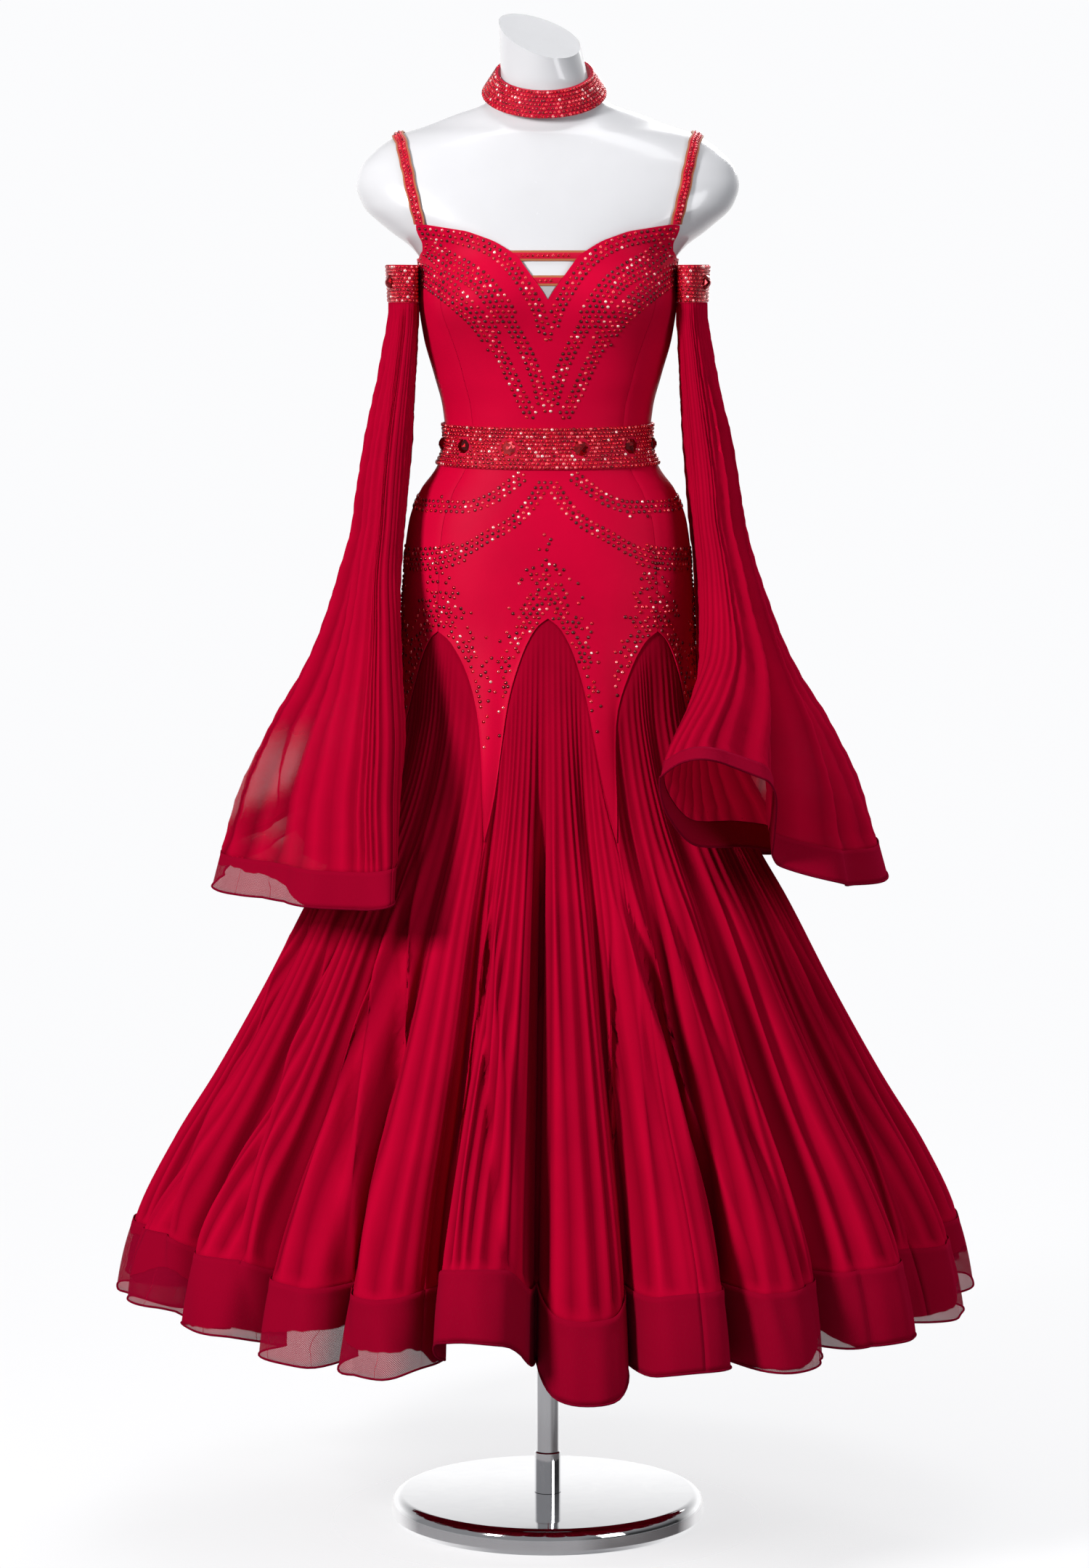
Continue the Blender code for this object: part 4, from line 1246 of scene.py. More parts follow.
def band_sites(rows, sizes, chance):
    """Angles and heights of the stones of a band, in staggered rows."""
    t = np.linspace(0, len(rows) - 1, 600)
    knots = np.arange(len(rows))
    angle, height, width = (curve_through(t, knots, column_of(rows, name)) for name in BandRow._fields)
    u = np.radians(angle)
    run = lengths(dress_surface(u, height)[None], 1)[0]
    half_rows = 3
    found = []
    for row in range(-half_rows, half_rows + 1):
        at = np.arange((row % 2) * 0.5 * sizes.stone_pitch, run[-1], sizes.stone_pitch)
        at = at + chance.normal(0, 0.0002, len(at))
        su, sz, sw = (np.interp(at, run, values) for values in (u, height, width))
        ahead_u, ahead_z = (np.interp(at + 0.002, run, values) for values in (u, height))
        along = dress_surface(ahead_u, ahead_z) - dress_surface(su, sz)
        normal = surface_normals(dress_surface, su, sz)
        across = np.cross(normal, along)
        across /= np.linalg.norm(across, axis=-1, keepdims=True) + 1e-9
        offset = row * sizes.row_pitch + chance.normal(0, 0.00015, len(at))
        keep = np.abs(offset) <= sw * BAND_FULLNESS / 2 + 0.0004
        nu, nz = moved_on_dress(su, sz, across * offset[:, None])
        found.append(np.stack([nu[keep], nz[keep]], -1))
    return np.concatenate(found)


def spray_sites(k, sizes, chance):
    """Angles and heights of the stones scattered over one godet's apex and down its seams."""
    godet = GODETS[k]
    apex = radians(godet.apex)
    pitch = sizes.stone_pitch * 0.98
    rows = np.arange(-0.156, 0.092, pitch * 0.80)
    found = []
    for j, rise in enumerate(rows):
        z = godet.apex_height + rise
        near = np.linalg.norm(steps_of(np.array([apex]), np.array([z]))[0])
        x = np.arange(-0.16, 0.16, pitch) + (j % 2) * pitch / 2
        x = x + chance.normal(0, 0.0008, len(x))
        u = apex + x / near
        left = apex - tip_angle(k - 1)
        right = tip_angle(k) - apex
        drop = -rise / (godet.apex_height - TONGUE_LEVEL)
        share = look_up(max(drop, 0.0), GODET_SEAM, "drop", "share") if rise < 0 else 0.0
        beyond = np.abs(x) - np.where(x < 0, left, right) * share * near
        reach = look_up(rise, SPRAY, "rise", "reach")
        thick = look_up(rise, SPRAY, "rise", "thick")
        likely = thick * np.clip(1.35 - np.maximum(beyond, 0) / reach, 0, 1)
        clear = beyond > 0.0035 if rise < 0.004 else np.full(len(x), True)
        tongue_half = 0.5 * (tip_angle(k) - apex) * near * 2
        keep = clear & (chance.random(len(x)) < likely) & (beyond < reach * 1.35) & (np.abs(x) < tongue_half)
        found.append(np.stack([u[keep], z + chance.normal(0, 0.0007, keep.sum())], -1))
    return np.concatenate(found)


def near_cells(cell):
    return [(cell[0] + dx, cell[1] + dy, cell[2] + dz)
            for dx in (-1, 0, 1) for dy in (-1, 0, 1) for dz in (-1, 0, 1)]


def thinned(sites, least):
    """Sites with the later one of each pair that lie too close together left out."""
    points = dress_surface(sites[:, 0], sites[:, 1])
    kept = []
    cells = {}
    for i, point in enumerate(points):
        cell = tuple((point // least).astype(int))
        near = [j for place in near_cells(cell) for j in cells.get(place, ())]
        if all(np.linalg.norm(points[j] - point) >= least for j in near):
            kept.append(i)
            cells.setdefault(cell, []).append(i)
    return sites[kept]


def dress_stones(name, sites, seed, sizes):
    """Small stones on the dress at those angles and heights, none on top of another."""
    u, z = thinned(sites, sizes.stone * 1.12).T
    return set_stones(name, dress_surface(u, z), surface_normals(dress_surface, u, z), sizes.stone,
                      SMALL_CUT, "cut_stone", seed)


def staggered(levels, reach, pitch):
    """Places along and across of the stones in staggered rows."""
    found = []
    for j, level in enumerate(levels):
        at = np.arange(0, reach, pitch) + (j % 2) * pitch / 2
        found.append(np.stack([at, level + 0 * at]))
    return np.concatenate(found, axis=1)


def edge_with_elastic(piece, across, least):
    """Tan elastic on a band's faces whose middle lies further out than that share of its width."""
    piece.data.materials.append(finish_of("tan_elastic"))
    at = np.tile(across.ravel(), 2)
    far = [abs(at[list(face.vertices)].mean()) > least for face in piece.data.polygons]
    piece.data.polygons.foreach_set("material_index", np.array(far, np.int32))


def panel_grid(first, last, per_side):
    """Angles and seam heights of a fitted panel's columns, from one godet's apex to another's."""
    t = np.linspace(0, 1, per_side + 1)
    shares = 0.55 * t + 0.45 * (1 - (1 - t) ** 2.2)
    angles, seam, tips = [], [], []
    for k in range(first, last):
        start, tip, end = apex_angle(k), tip_angle(k), apex_angle(k + 1)
        angles += list(start + (tip - start) * shares)
        seam += list(seam_height(k, shares))
        angles += list(end + (tip - end) * shares[-2::-1])
        seam += list(seam_height(k + 1, shares[-2::-1]))
        if k < last - 1:
            angles.pop()
            seam.pop()
    return np.array(angles), np.array(seam)


def fitted_panel(name, node, first, last):
    """A fitted panel of crepe from the neckline down to its pointed tongues."""
    angles, seam = panel_grid(first, last, 16)
    side = 0.5 * SEAM_GAP / NEAR_RADIUS
    angles[0] += side
    angles[-1] -= side
    top = neckline(angles)
    low = seam + 0.0012
    z = top + (low - top) * np.linspace(0, 1, 70)[:, None]
    u = np.broadcast_to(angles, z.shape)
    normals = surface_normals(dress_surface, u, z)
    from_side = np.minimum(np.abs(u - angles[0]), np.abs(u - angles[-1])) * NEAR_RADIUS
    from_edge = np.minimum(z - low, top - z)
    rolled = 0.0005 * (np.exp(-(from_edge / 0.003) ** 2) - np.exp(-(from_side / 0.0016) ** 2))
    outer = dress_surface(u, z) + normals * rolled[..., None]
    inner = outer - normals * BODICE_WALL
    piece = wall(name, outer, inner, False, "satin_crepe", [node], flat_places(outer), 60)
    level = np.linspace(angles[0], angles[-1], 60)
    width = max(lengths(dress_surface(level, np.full(60, height))[None], 1)[0, -1] for height in GIRTHS)
    cut_sheet(outer, width=width)


def neck_net():
    """The small grey net in the point of the V, under the lower bar."""
    near_v = np.radians(column_of(NECKLINE[:3], "angle"))
    heights_v = np.array(column_of(NECKLINE[:3], "z"))
    heights = np.linspace(BAR_CENTRES[1] - BAR_HEIGHT / 2 - 0.0004, NECKLINE[0].z + 0.0006, 9)
    half = np.interp(heights, heights_v, near_v) - 0.003
    u = half[:, None] * np.linspace(-1, 1, 13)
    z = np.repeat(heights[:, None], 13, axis=1)
    normals = surface_normals(dress_surface, u, z)
    outer = dress_surface(u, z) - normals * 0.0007
    piece = wall("neck_net", outer, outer - normals * 0.0004, False, "grey_net", (),
                 flat_places(outer))
    cut_sheet(outer)


def pleat_profile(phase):
    """Height of a soft accordion pleat, from 0 in its folds to 1 on its crests."""
    return (1 - np.abs(2 * (phase % 1.0) - 1)) ** 0.9


def pleat_lines(chance, pleats, levels, hold):
    """Where the columns of a pleated cloth run: their pleat counts, how far each strays sideways in
    pleats at each level, and how strongly each pleat stands. hold keeps the sides straight."""
    phase = np.arange(pleats * PLEAT_COLUMNS + 1) / PLEAT_COLUMNS
    s = 2 * phase / pleats - 1
    stray = 0.0
    for _ in range(3):
        size, rate, start, slant = (chance.uniform(*span) for span in
                                    ((0.14, 0.40), (3, 9), (0, 2 * pi), (-1.5, 1.5)))
        stray = stray + size * np.sin(s * rate + start + levels[:, None] * slant)
    stray = stray * (1 - np.abs(s) ** hold)
    strength = np.interp(phase, np.arange(pleats) + 0.5, chance.uniform(0.45, 1.0, pleats))
    return phase, s + stray * 2 / pleats, strength


def godet(k, sizes):
    """A godet of pleated chiffon let in between two tongues. Its edges lap under them and the crin."""
    chance = np.random.default_rng(100 + k)
    levels = np.linspace(0, 1, 60) ** 0.92
    phase, s, strength = pleat_lines(chance, sizes.godet_pleats, levels, 6)
    share = np.abs(s)
    apex = apex_angle(k)
    side = np.where(s < 0, apex - tip_angle(k - 1), tip_angle(k) - apex)
    u = apex + s * side
    top = seam_height(k, share)
    bottom = HEM + HEM_BAND - BAND_LAP
    z = top + (bottom - top) * levels[:, None]
    apex_height = GODETS[k].apex_height
    down = np.clip((apex_height - z) / (apex_height - HEM), 0, 1)
    above_band = np.clip((z - bottom - BAND_LAP) / 0.012, 0, 1)
    full = sizes.godet_pleat_depth
    depth = (0.0008 + (full - 0.0008) * down ** 0.8) * smooth((top - z) / 0.040) * above_band
    depth = depth * np.clip((1 - share) / 0.03, 0, 1)
    crest = pleat_profile(phase)
    fall = (1 - crest) * depth * strength + (1 - strength) * depth * 0.35
    lift = -fall - 0.0018 + 0.0014 * smooth((top - z) / 0.010) * above_band
    normals = surface_normals(dress_surface, u, z)
    outer = dress_surface(u, z) + normals * lift[..., None]
    seam = surface_normals(dress_surface, u[0], z[0])
    along = np.gradient(dress_surface(u[0], z[0]), axis=0)
    up = normalised(np.cross(seam, along))
    lap = np.minimum(SEAM_LAP, 0.6 * (1 - share[0]) * side[0] * 0.17)
    hidden_u, hidden_z = moved_on_dress(u[0], z[0], up * lap[:, None])
    hidden = dress_surface(hidden_u, hidden_z) + surface_normals(dress_surface, hidden_u, hidden_z) * -0.0022
    outer = np.concatenate([hidden[None], outer])
    normals = np.concatenate([normals[:1], normals])
    inner = outer - normals * CHIFFON_WALL
    # Painted shade for the chiffon's colour: darker in the pleats' folds, and darker still near the seam
    # under the tongues
    painted_shade_level = 1 - (1 - crest) * strength * np.clip(depth / full * 1.8, 0.16, 1)
    painted_shade_level = painted_shade_level * (0.55 + 0.45 * smooth(down / 0.35))
    painted_shade_level = np.concatenate([painted_shade_level[:1], painted_shade_level])
    return wall(f"pleated_godet_{k + 1}", outer, inner, False, "godet_chiffon",
                [f"godet_{k + 1}"], flat_places(outer), lining=1.0, level=painted_shade_level), outer


def hem_band(k, sizes):
    """The wide crin braid along one godet's hem."""
    s = np.linspace(-1, 1, sizes.godet_pleats * PLEAT_COLUMNS + 1)
    apex = apex_angle(k)
    angles = apex + s * np.where(s < 0, apex - tip_angle(k - 1), tip_angle(k) - apex)
    z = np.linspace(HEM + HEM_BAND, HEM + 0.0006, 14)[:, None] + 0 * angles
    u = np.broadcast_to(angles, z.shape)
    normals = surface_normals(dress_surface, u, z)
    from_top = (HEM + HEM_BAND) - z
    fold = 0.0009 * (1 - smooth((from_top - 0.005) / 0.003))
    ripple = 0.0005 * np.sin(s * pi * sizes.godet_pleats) * smooth(from_top / 0.02) * (1 - s ** 8)
    outer = dress_surface(u, z) + normals * (fold + ripple - 0.0008)[..., None]
    inner = outer - normals * 0.0005
    around = (np.degrees(angles) + 90) % 360 - 90
    lined = look_up(around, LINING, "angle", "share")
    return wall(f"crin_hem_{k + 1}", outer, inner, False, "hem_crin", [f"hem_band_{k + 1}"],
                flat_places(outer), lining=lined, level=from_top / HEM_BAND), outer


def pleated_float(label, part, side, hem_rows, start, stop, sizes):
    """One panel of a float, gathered at its top and pleated down to its crin."""
    chance = np.random.default_rng(300 + (side > 0) * 10 + (start > 1))
    surface = float_surface(side, hem_rows)
    levels = np.linspace(0, 1, 72)
    phase, s, strength = pleat_lines(chance, sizes.float_pleats, levels, 12)
    angle = start + (stop - start) * (s + 1) / 2
    band_top = FLOAT_HEM + FLOAT_BAND
    z = FLOAT_TOP + (band_top - 0.004 - FLOAT_TOP) * levels[:, None] + 0 * angle
    down = np.clip((FLOAT_TOP - z) / (FLOAT_TOP - FLOAT_HEM), 0, 1)
    fade = np.clip(down / 0.02, 0, 1) * np.clip(np.abs(np.sin(angle)) / 0.4, 0.12, 1)
    fade = fade * np.clip((z - band_top) / 0.008, 0, 1) * np.clip((1 - np.abs(s)) / 0.03, 0, 1)
    depth = sizes.float_pleat_depth * fade * (0.42 + 0.58 * down)
    crinkle = 0.0009 * np.sin(phase * 2.1 + z * 160) * np.sin(phase * 0.9 - z * 95) * fade
    crest = pleat_profile(phase)
    fall = (1 - crest) * depth * strength + (1 - strength) * depth * 0.3
    lift = crinkle - fall - 0.0016 * (1 - np.clip((z - band_top) / 0.004, 0, 1))
    normals = surface_normals(surface, angle, z, FLOAT_TURN_STEP) * side
    outer = surface(angle, z) + normals * lift[..., None]
    inner = outer - normals * 0.0005
    thin_from, thin_to = SHEER_PART[label]
    turn = np.degrees(angle)
    behind = smooth((turn - thin_from) / 7) * smooth((thin_to - turn) / 30)
    between = smooth((SHEER_TOP - z) / SHEER_FADE) * smooth((z - SHEER_LOW) / SHEER_LOW_FADE)
    shown = 1 - 0.50 * behind * between
    # Painted shade for the chiffon's colour: darker in the pleats' folds, more so further down
    painted_shade_level = 1 - (1 - crest) * strength * (0.35 + 0.65 * down)
    return wall(f"pleated_float_{label}_{part}", outer, inner, False, "float_chiffon",
                [f"float_{label}_{part}"], flat_places(outer), lining=shown, level=painted_shade_level), outer


def float_band(label, part, side, hem_rows, start, stop):
    """The narrow crin braid along one panel of a float."""
    surface = float_surface(side, hem_rows)
    around = np.linspace(start, stop, 145)
    z = np.linspace(FLOAT_HEM + FLOAT_BAND, FLOAT_HEM + 0.0006, 9)[:, None] + 0 * around
    angle = np.broadcast_to(around, z.shape)
    normals = surface_normals(surface, angle, z, FLOAT_TURN_STEP) * side
    from_top = FLOAT_HEM + FLOAT_BAND - z
    fold = 0.0007 * (1 - smooth((from_top - 0.003) / 0.002))
    outer = surface(angle, z) + normals * (fold - 0.0007)[..., None]
    inner = outer - normals * 0.0005
    turn = np.degrees(angle)
    thin_from, thin_to = SHEER_PART[label]
    lined = 1.2 - 0.9 * smooth((turn - thin_from + 20) / 30) * smooth((thin_to - turn) / 30)
    return wall(f"crin_float_{label}_{part}", outer, inner, False, "float_crin",
                [f"float_band_{label}_{part}"], flat_places(outer), lining=lined,
                level=from_top / FLOAT_BAND), outer


def edge_binding(name, surface, z, turn_step, flip, sizes):
    """The rolled edge of a hem, all the way round."""
    around = np.linspace(0, 2 * pi, 720, endpoint=False)
    height = np.full(len(around), z)
    normals = surface_normals(surface, around, height, turn_step) * flip
    path = surface(around, height) - normals * 0.0006
    return tube(name, path, normals, sizes.binding / 2, True, 6, "hem_binding")


class DRESS_OT_stand(bpy.types.Operator):
    """Round chrome base, pole socket and pole"""

    bl_idname = "dress.stand"
    bl_label = "Stand"

    def execute(self, context):
        edge = 0.012
        quarter = np.linspace(0, pi / 2, 9)
        rim = [(BASE_RADIUS - edge * (1 - cos(t)), BASE_THICKNESS - edge * (1 - sin(t))) for t in quarter]
        foot = [(BASE_RADIUS - 0.006, 0.0), (BASE_RADIUS, 0.006)]
        turned("stand_base", foot + rim, 160, "polished_chrome", ["form_base"], 30)
        low = BASE_THICKNESS + SEAM_GAP
        high = low + SOCKET_HEIGHT
        turned("stand_socket",
               [(SOCKET_RADIUS, low), (SOCKET_RADIUS, high - 0.001), (SOCKET_RADIUS - 0.001, high)],
               64, "polished_chrome", ["form_pole_socket"])
        turned("stand_pole", [(POLE_RADIUS, high + SEAM_GAP), (POLE_RADIUS, FORM_BOTTOM - SEAM_GAP)],
               64, "polished_chrome", ["form_pole"])
        return {"FINISHED"}


class DRESS_OT_form(bpy.types.Operator):
    """Smooth white armless torso"""

    bl_idname = "dress.form"
    bl_label = "Dress form"

    def execute(self, context):
        columns = 128
        angles = np.linspace(0, 2 * pi, columns, endpoint=False)
        heights = np.concatenate([np.linspace(FORM_BOTTOM, 1.39, 60), np.linspace(1.394, NECK_TOP_ROW, 60)])
        u, z = np.meshgrid(angles, heights)
        below = smooth((neckline(u) + FORM_INSET_ABOVE_NECKLINE - z) / FORM_INSET_FADE)
        normals = surface_normals(figure_surface, u, z)
        body = figure_surface(u, z) - normals * (FORM_INSET * below)[..., None]
        neck = figure_surface(angles, np.full(columns, NECK_CUT_HEIGHT))
        neck[:, 2] = NECK_CUT_HEIGHT + NECK_CUT_SLOPE_X * neck[:, 0] + NECK_CUT_SLOPE_Y * neck[:, 1]
        shares = np.linspace(0, 1, 9)[1:]
        rise = body[-1] + (neck - body[-1]) * shares[:, None, None]
        cap = [neck + (neck.mean(0) - neck) * t for t in (0.04, 0.10, 0.5, 0.9)]
        grid = np.concatenate([body, rise, np.array(cap)])
        faces = grid_faces(grid.shape[0], columns, True)
        faces.append(list(range(columns)))
        last = (grid.shape[0] - 1) * columns
        faces.append([last + i for i in reversed(range(columns))])
        add_piece("white_torso", grid, faces, "white_gloss_form", ["form_torso"], sharp=40)
        return {"FINISHED"}


class DRESS_OT_bodice(bpy.types.Operator):
    """Seven fitted crepe panels with their tongues, and the net in the V"""

    bl_idname = "dress.bodice"
    bl_label = "Bodice panels"

    def execute(self, context):
        for name, node, first, last in (
            ("crepe_front", "panel_front", -1, 1),
            ("crepe_side_front_right", "panel_side_front_right", 1, 2),
            ("crepe_side_back_right", "panel_side_back_right", 2, 3),
            ("crepe_back_right", "panel_back_right", 3, 4),
            ("crepe_back_left", "panel_back_left", 4, 5),
            ("crepe_side_back_left", "panel_side_back_left", 5, 6),
            ("crepe_side_front_left", "panel_side_front_left", 6, 7),
        ):
            fitted_panel(name, node, first, last)
        neck_net()
        return {"FINISHED"}


class DRESS_OT_skirt(bpy.types.Operator):
    """Eight pleated godets with their crin hems and the bound edge"""

    bl_idname = "dress.skirt"
    bl_label = "Godets and hem"

    def execute(self, context):
        sizes = context.scene.dress_sizes
        edge = edge_binding("skirt_binding", dress_surface, HEM, TURN_STEP, 1, sizes)
        for k in range(len(GODETS)):
            band, band_grid = hem_band(k, sizes)
            cloth, grid = godet(k, sizes)
            cut_sheet(grid)
            cut_sheet(band_grid)
        return {"FINISHED"}


class DRESS_OT_floats(bpy.types.Operator):
    """Pleated arm floats with crin hems and bound edges"""

    bl_idname = "dress.floats"
    bl_label = "Arm floats"

    def execute(self, context):
        sizes = context.scene.dress_sizes
        for label, side, rows in (("left", -1, FLOAT_HEM_LEFT), ("right", 1, FLOAT_HEM_RIGHT)):
            edge = edge_binding(f"float_binding_{label}", float_surface(side, rows), FLOAT_HEM,
                                FLOAT_TURN_STEP, side, sizes)
            for part, start, stop in (("outer", 0.0, pi), ("inner", pi, 2 * pi)):
                band, band_grid = float_band(label, part, side, rows, start, stop)
                cloth, grid = pleated_float(label, part, side, rows, start, stop, sizes)
                cut_sheet(grid)
                cut_sheet(band_grid)
        return {"FINISHED"}


class DRESS_OT_armlets(bpy.types.Operator):
    """Stoned armlets that the floats hang from"""

    bl_idname = "dress.armlets"
    bl_label = "Armlets"

    def execute(self, context):
        sizes = context.scene.dress_sizes
        for label, side, rows in (("left", -1, FLOAT_HEM_LEFT), ("right", 1, FLOAT_HEM_RIGHT)):
            surface = float_surface(side, rows)
            around = np.linspace(0, 2 * pi, 96, endpoint=False)
            heights = np.linspace(ARMLET_TOP, FLOAT_TOP + SEAM_GAP, 7)
            angle, z = np.meshgrid(around, heights)
            normals = surface_normals(surface, angle, z, FLOAT_TURN_STEP) * side
            outer = surface(angle, z)
            wall(f"armlet_cloth_{label}", outer, outer - normals * ARMLET_WALL, True, "stone_backing",
                 [f"armlet_{label}"], sharp=50)
            fine = np.linspace(0, 2 * pi, 721)
            run = lengths(surface(fine, np.full(721, 1.372))[None], 1)[0]
            rows_up = np.arange(FLOAT_TOP + 0.0026, ARMLET_TOP - 0.001, 0.0040)
            at, height = staggered(rows_up, run[-1] - 0.002, 0.0045)
            turn = np.interp(at, run, fine)
            normals = surface_normals(surface, turn, height, FLOAT_TURN_STEP) * side
            set_stones(f"armlet_stones_{label}", surface(turn, height), normals,
                       sizes.stone * 1.02, SMALL_CUT, "band_stone", 40 + (side > 0))
            at = np.array([radians(62)])
            height = np.array([1.374])
            normal = surface_normals(surface, at, height, FLOAT_TURN_STEP) * side
            set_stones(f"armlet_gem_{label}", surface(at, height) + normal * 0.0012, normal, sizes.gem,
                       GEM_CUT, "cut_gem", 50 + (side > 0), tilt=0, facets=True)
        return {"FINISHED"}


class DRESS_OT_belt(bpy.types.Operator):
    """Shaped belt covered with stones and set with large gems"""

    bl_idname = "dress.belt"
    bl_label = "Belt"

    def execute(self, context):
        sizes = context.scene.dress_sizes
        around = np.linspace(0, 2 * pi, 240, endpoint=False)
        levels = np.linspace(0.5, -0.5, 9)

        def belt_surface(u, level):
            z = belt_edge(u, level)
            normal = surface_normals(dress_surface, u, belt_edge(u, 0 * level))
            return dress_surface(u, z) + surface_normals(dress_surface, u, z) * BELT_EASE, normal

        u, level = np.meshgrid(around, levels)
        inner, normal = belt_surface(u, level)
        outer = inner + normal * (BELT_WALL - 0.0004 * (np.abs(level) > 0.49))[..., None]
        wall("belt_cloth", outer, inner, True, "stone_backing", ["belt"], sharp=50)
        fine = np.linspace(0, 2 * pi, 1441)
        run = lengths(dress_surface(fine, belt_edge(fine, 0.0))[None], 1)[0]
        gems = np.radians(BELT_GEM_ANGLES)
        gem_places, gem_normals = belt_surface(gems, 0 * gems)
        gem_places = gem_places + gem_normals * BELT_WALL
        at, level = staggered(np.arange(-0.0205, 0.0206, 0.0041) / BELT_HEIGHT, run[-1] - 0.003, 0.0046)
        centres, normals = belt_surface(np.interp(at, run, fine), level)
        centres = centres + normals * BELT_WALL
        gap = np.linalg.norm(centres[:, None] - gem_places[None], axis=-1).min(1)
        free = gap > sizes.gem / 2 + 0.0012
        set_stones("belt_stones", centres[free], normals[free], sizes.stone * 1.06, SMALL_CUT,
                   "band_stone", 21, tilt=0.16)
        set_stones("belt_gems", gem_places, gem_normals, sizes.gem, GEM_CUT, "cut_gem", 22, tilt=0.03,
                   facets=True)
        return {"FINISHED"}


class DRESS_OT_choker(bpy.types.Operator):
    """Flared stoned choker round the base of the neck"""

    bl_idname = "dress.choker"
    bl_label = "Choker"

    def execute(self, context):
        sizes = context.scene.dress_sizes
        tilt = radians(CHOKER_TILT)

        def cone(angles, level, lift):
            radius = (CHOKER_TOP_RADIUS + (CHOKER_BOTTOM_RADIUS - CHOKER_TOP_RADIUS) * (0.5 - level)) + lift
            x, y, z = radius * np.sin(angles), -radius * np.cos(angles), level * CHOKER_HEIGHT
            return np.stack([CHOKER_CENTRE[0] + x,
                             CHOKER_CENTRE[1] + y * cos(tilt) - z * sin(tilt),
                             CHOKER_CENTRE[2] + y * sin(tilt) + z * cos(tilt)], axis=-1)

        angle, level = np.meshgrid(np.linspace(0, 2 * pi, 128, endpoint=False), np.linspace(0.5, -0.5, 6))
        wall("choker_cloth", cone(angle, level, CHOKER_WALL), cone(angle, level, 0.0), True, "stone_backing",
             ["choker"], sharp=50)
        middle = (CHOKER_TOP_RADIUS + CHOKER_BOTTOM_RADIUS) / 2 + CHOKER_WALL
        at, across = staggered(np.linspace(-0.44, 0.44, 7), 2 * pi - 0.03, 0.0044 / middle)
        around = cone(at + 0.01, across, 0.0) - cone(at - 0.01, across, 0.0)
        upward = cone(at, across + 0.1, 0.0) - cone(at, across - 0.1, 0.0)
        set_stones("choker_stones", cone(at, across, CHOKER_WALL), normalised(np.cross(around, upward)),
                   sizes.stone * 0.98, SMALL_CUT, "band_stone", 31, tilt=0.14)
        return {"FINISHED"}


def strap_line():
    """Angles and heights of a strap's middle line, from the front neckline to the back one."""
    turn = np.linspace(0, pi / 2, 181)
    angles = [float(np.interp(row.x, figure_surface(turn, np.full(181, row.z))[:, 0], turn))
              for row in STRAP_FRONT] + [pi / 2]
    angles += [radians(row.angle) for row in STRAP_BACK]
    heights = column_of(STRAP_FRONT, "z") + [STRAP_TOP] + column_of(STRAP_BACK, "z")
    steps = np.arange(len(angles))
    along = np.linspace(0, len(angles) - 1, 90)
    return curve_through(along, steps, angles), curve_through(along, steps, heights)


class DRESS_OT_straps(bpy.types.Operator):
    """Stoned shoulder straps with tan elastic edges"""

    bl_idname = "dress.straps"
    bl_label = "Shoulder straps"

    def execute(self, context):
        sizes = context.scene.dress_sizes
        for label, side in (("left", -1), ("right", 1)):
            u, z = strap_line()
            u = u * side
            centre = figure_surface(u, z)
            normal = surface_normals(figure_surface, u, z)
            across = normalised(np.cross(normal, normalised(np.gradient(centre, axis=0))))
            level = across.copy()
            for end in (0, -1):
                flat = figure_surface(u[end] + TURN_STEP, z[end]) - figure_surface(u[end] - TURN_STEP, z[end])
                level[end] = flat / np.linalg.norm(flat) * np.sign(flat @ across[end])
            shares = np.array([-0.5, -0.36, -0.32, 0.0, 0.32, 0.36, 0.5])
            crown = np.array([0.0, 0.0, 0.0005, 0.0007, 0.0005, 0.0, 0.0])
            lift = FORM_EASE + STRAP_EASE
            inner = centre[:, None] + level[:, None] * shares[None, :, None] * STRAP_WIDTH
            inner = inner + normal[:, None] * lift
            outer = inner + normal[:, None] * (STRAP_WALL - 0.0008 + crown[None, :, None])
            piece = wall(f"strap_cloth_{label}", outer, inner, False, "stone_backing",
                         [f"strap_{label}"], sharp=50)
            edge_with_elastic(piece, np.broadcast_to(shares, outer.shape[:2]), 0.35)
            run = lengths(centre[None], 1)[0]
            at = np.arange(0.003, run[-1] - 0.002, 0.0044)
            places, ups = [], []
            for row, offset in ((0, -0.0021), (1, 0.0021)):
                spots = at + row * 0.0022
                pick = [np.stack([np.interp(spots, run, values[:, i]) for i in range(3)], -1)
                        for values in (centre, normal, across)]
                places.append(pick[0] + pick[1] * (lift + STRAP_WALL - 0.0003) + pick[2] * offset)
                ups.append(pick[1])
            set_stones(f"strap_stones_{label}", np.concatenate(places), np.concatenate(ups),
                       sizes.stone * 0.98, SMALL_CUT, "band_stone", 60 + (side > 0), tilt=0.14)
        return {"FINISHED"}


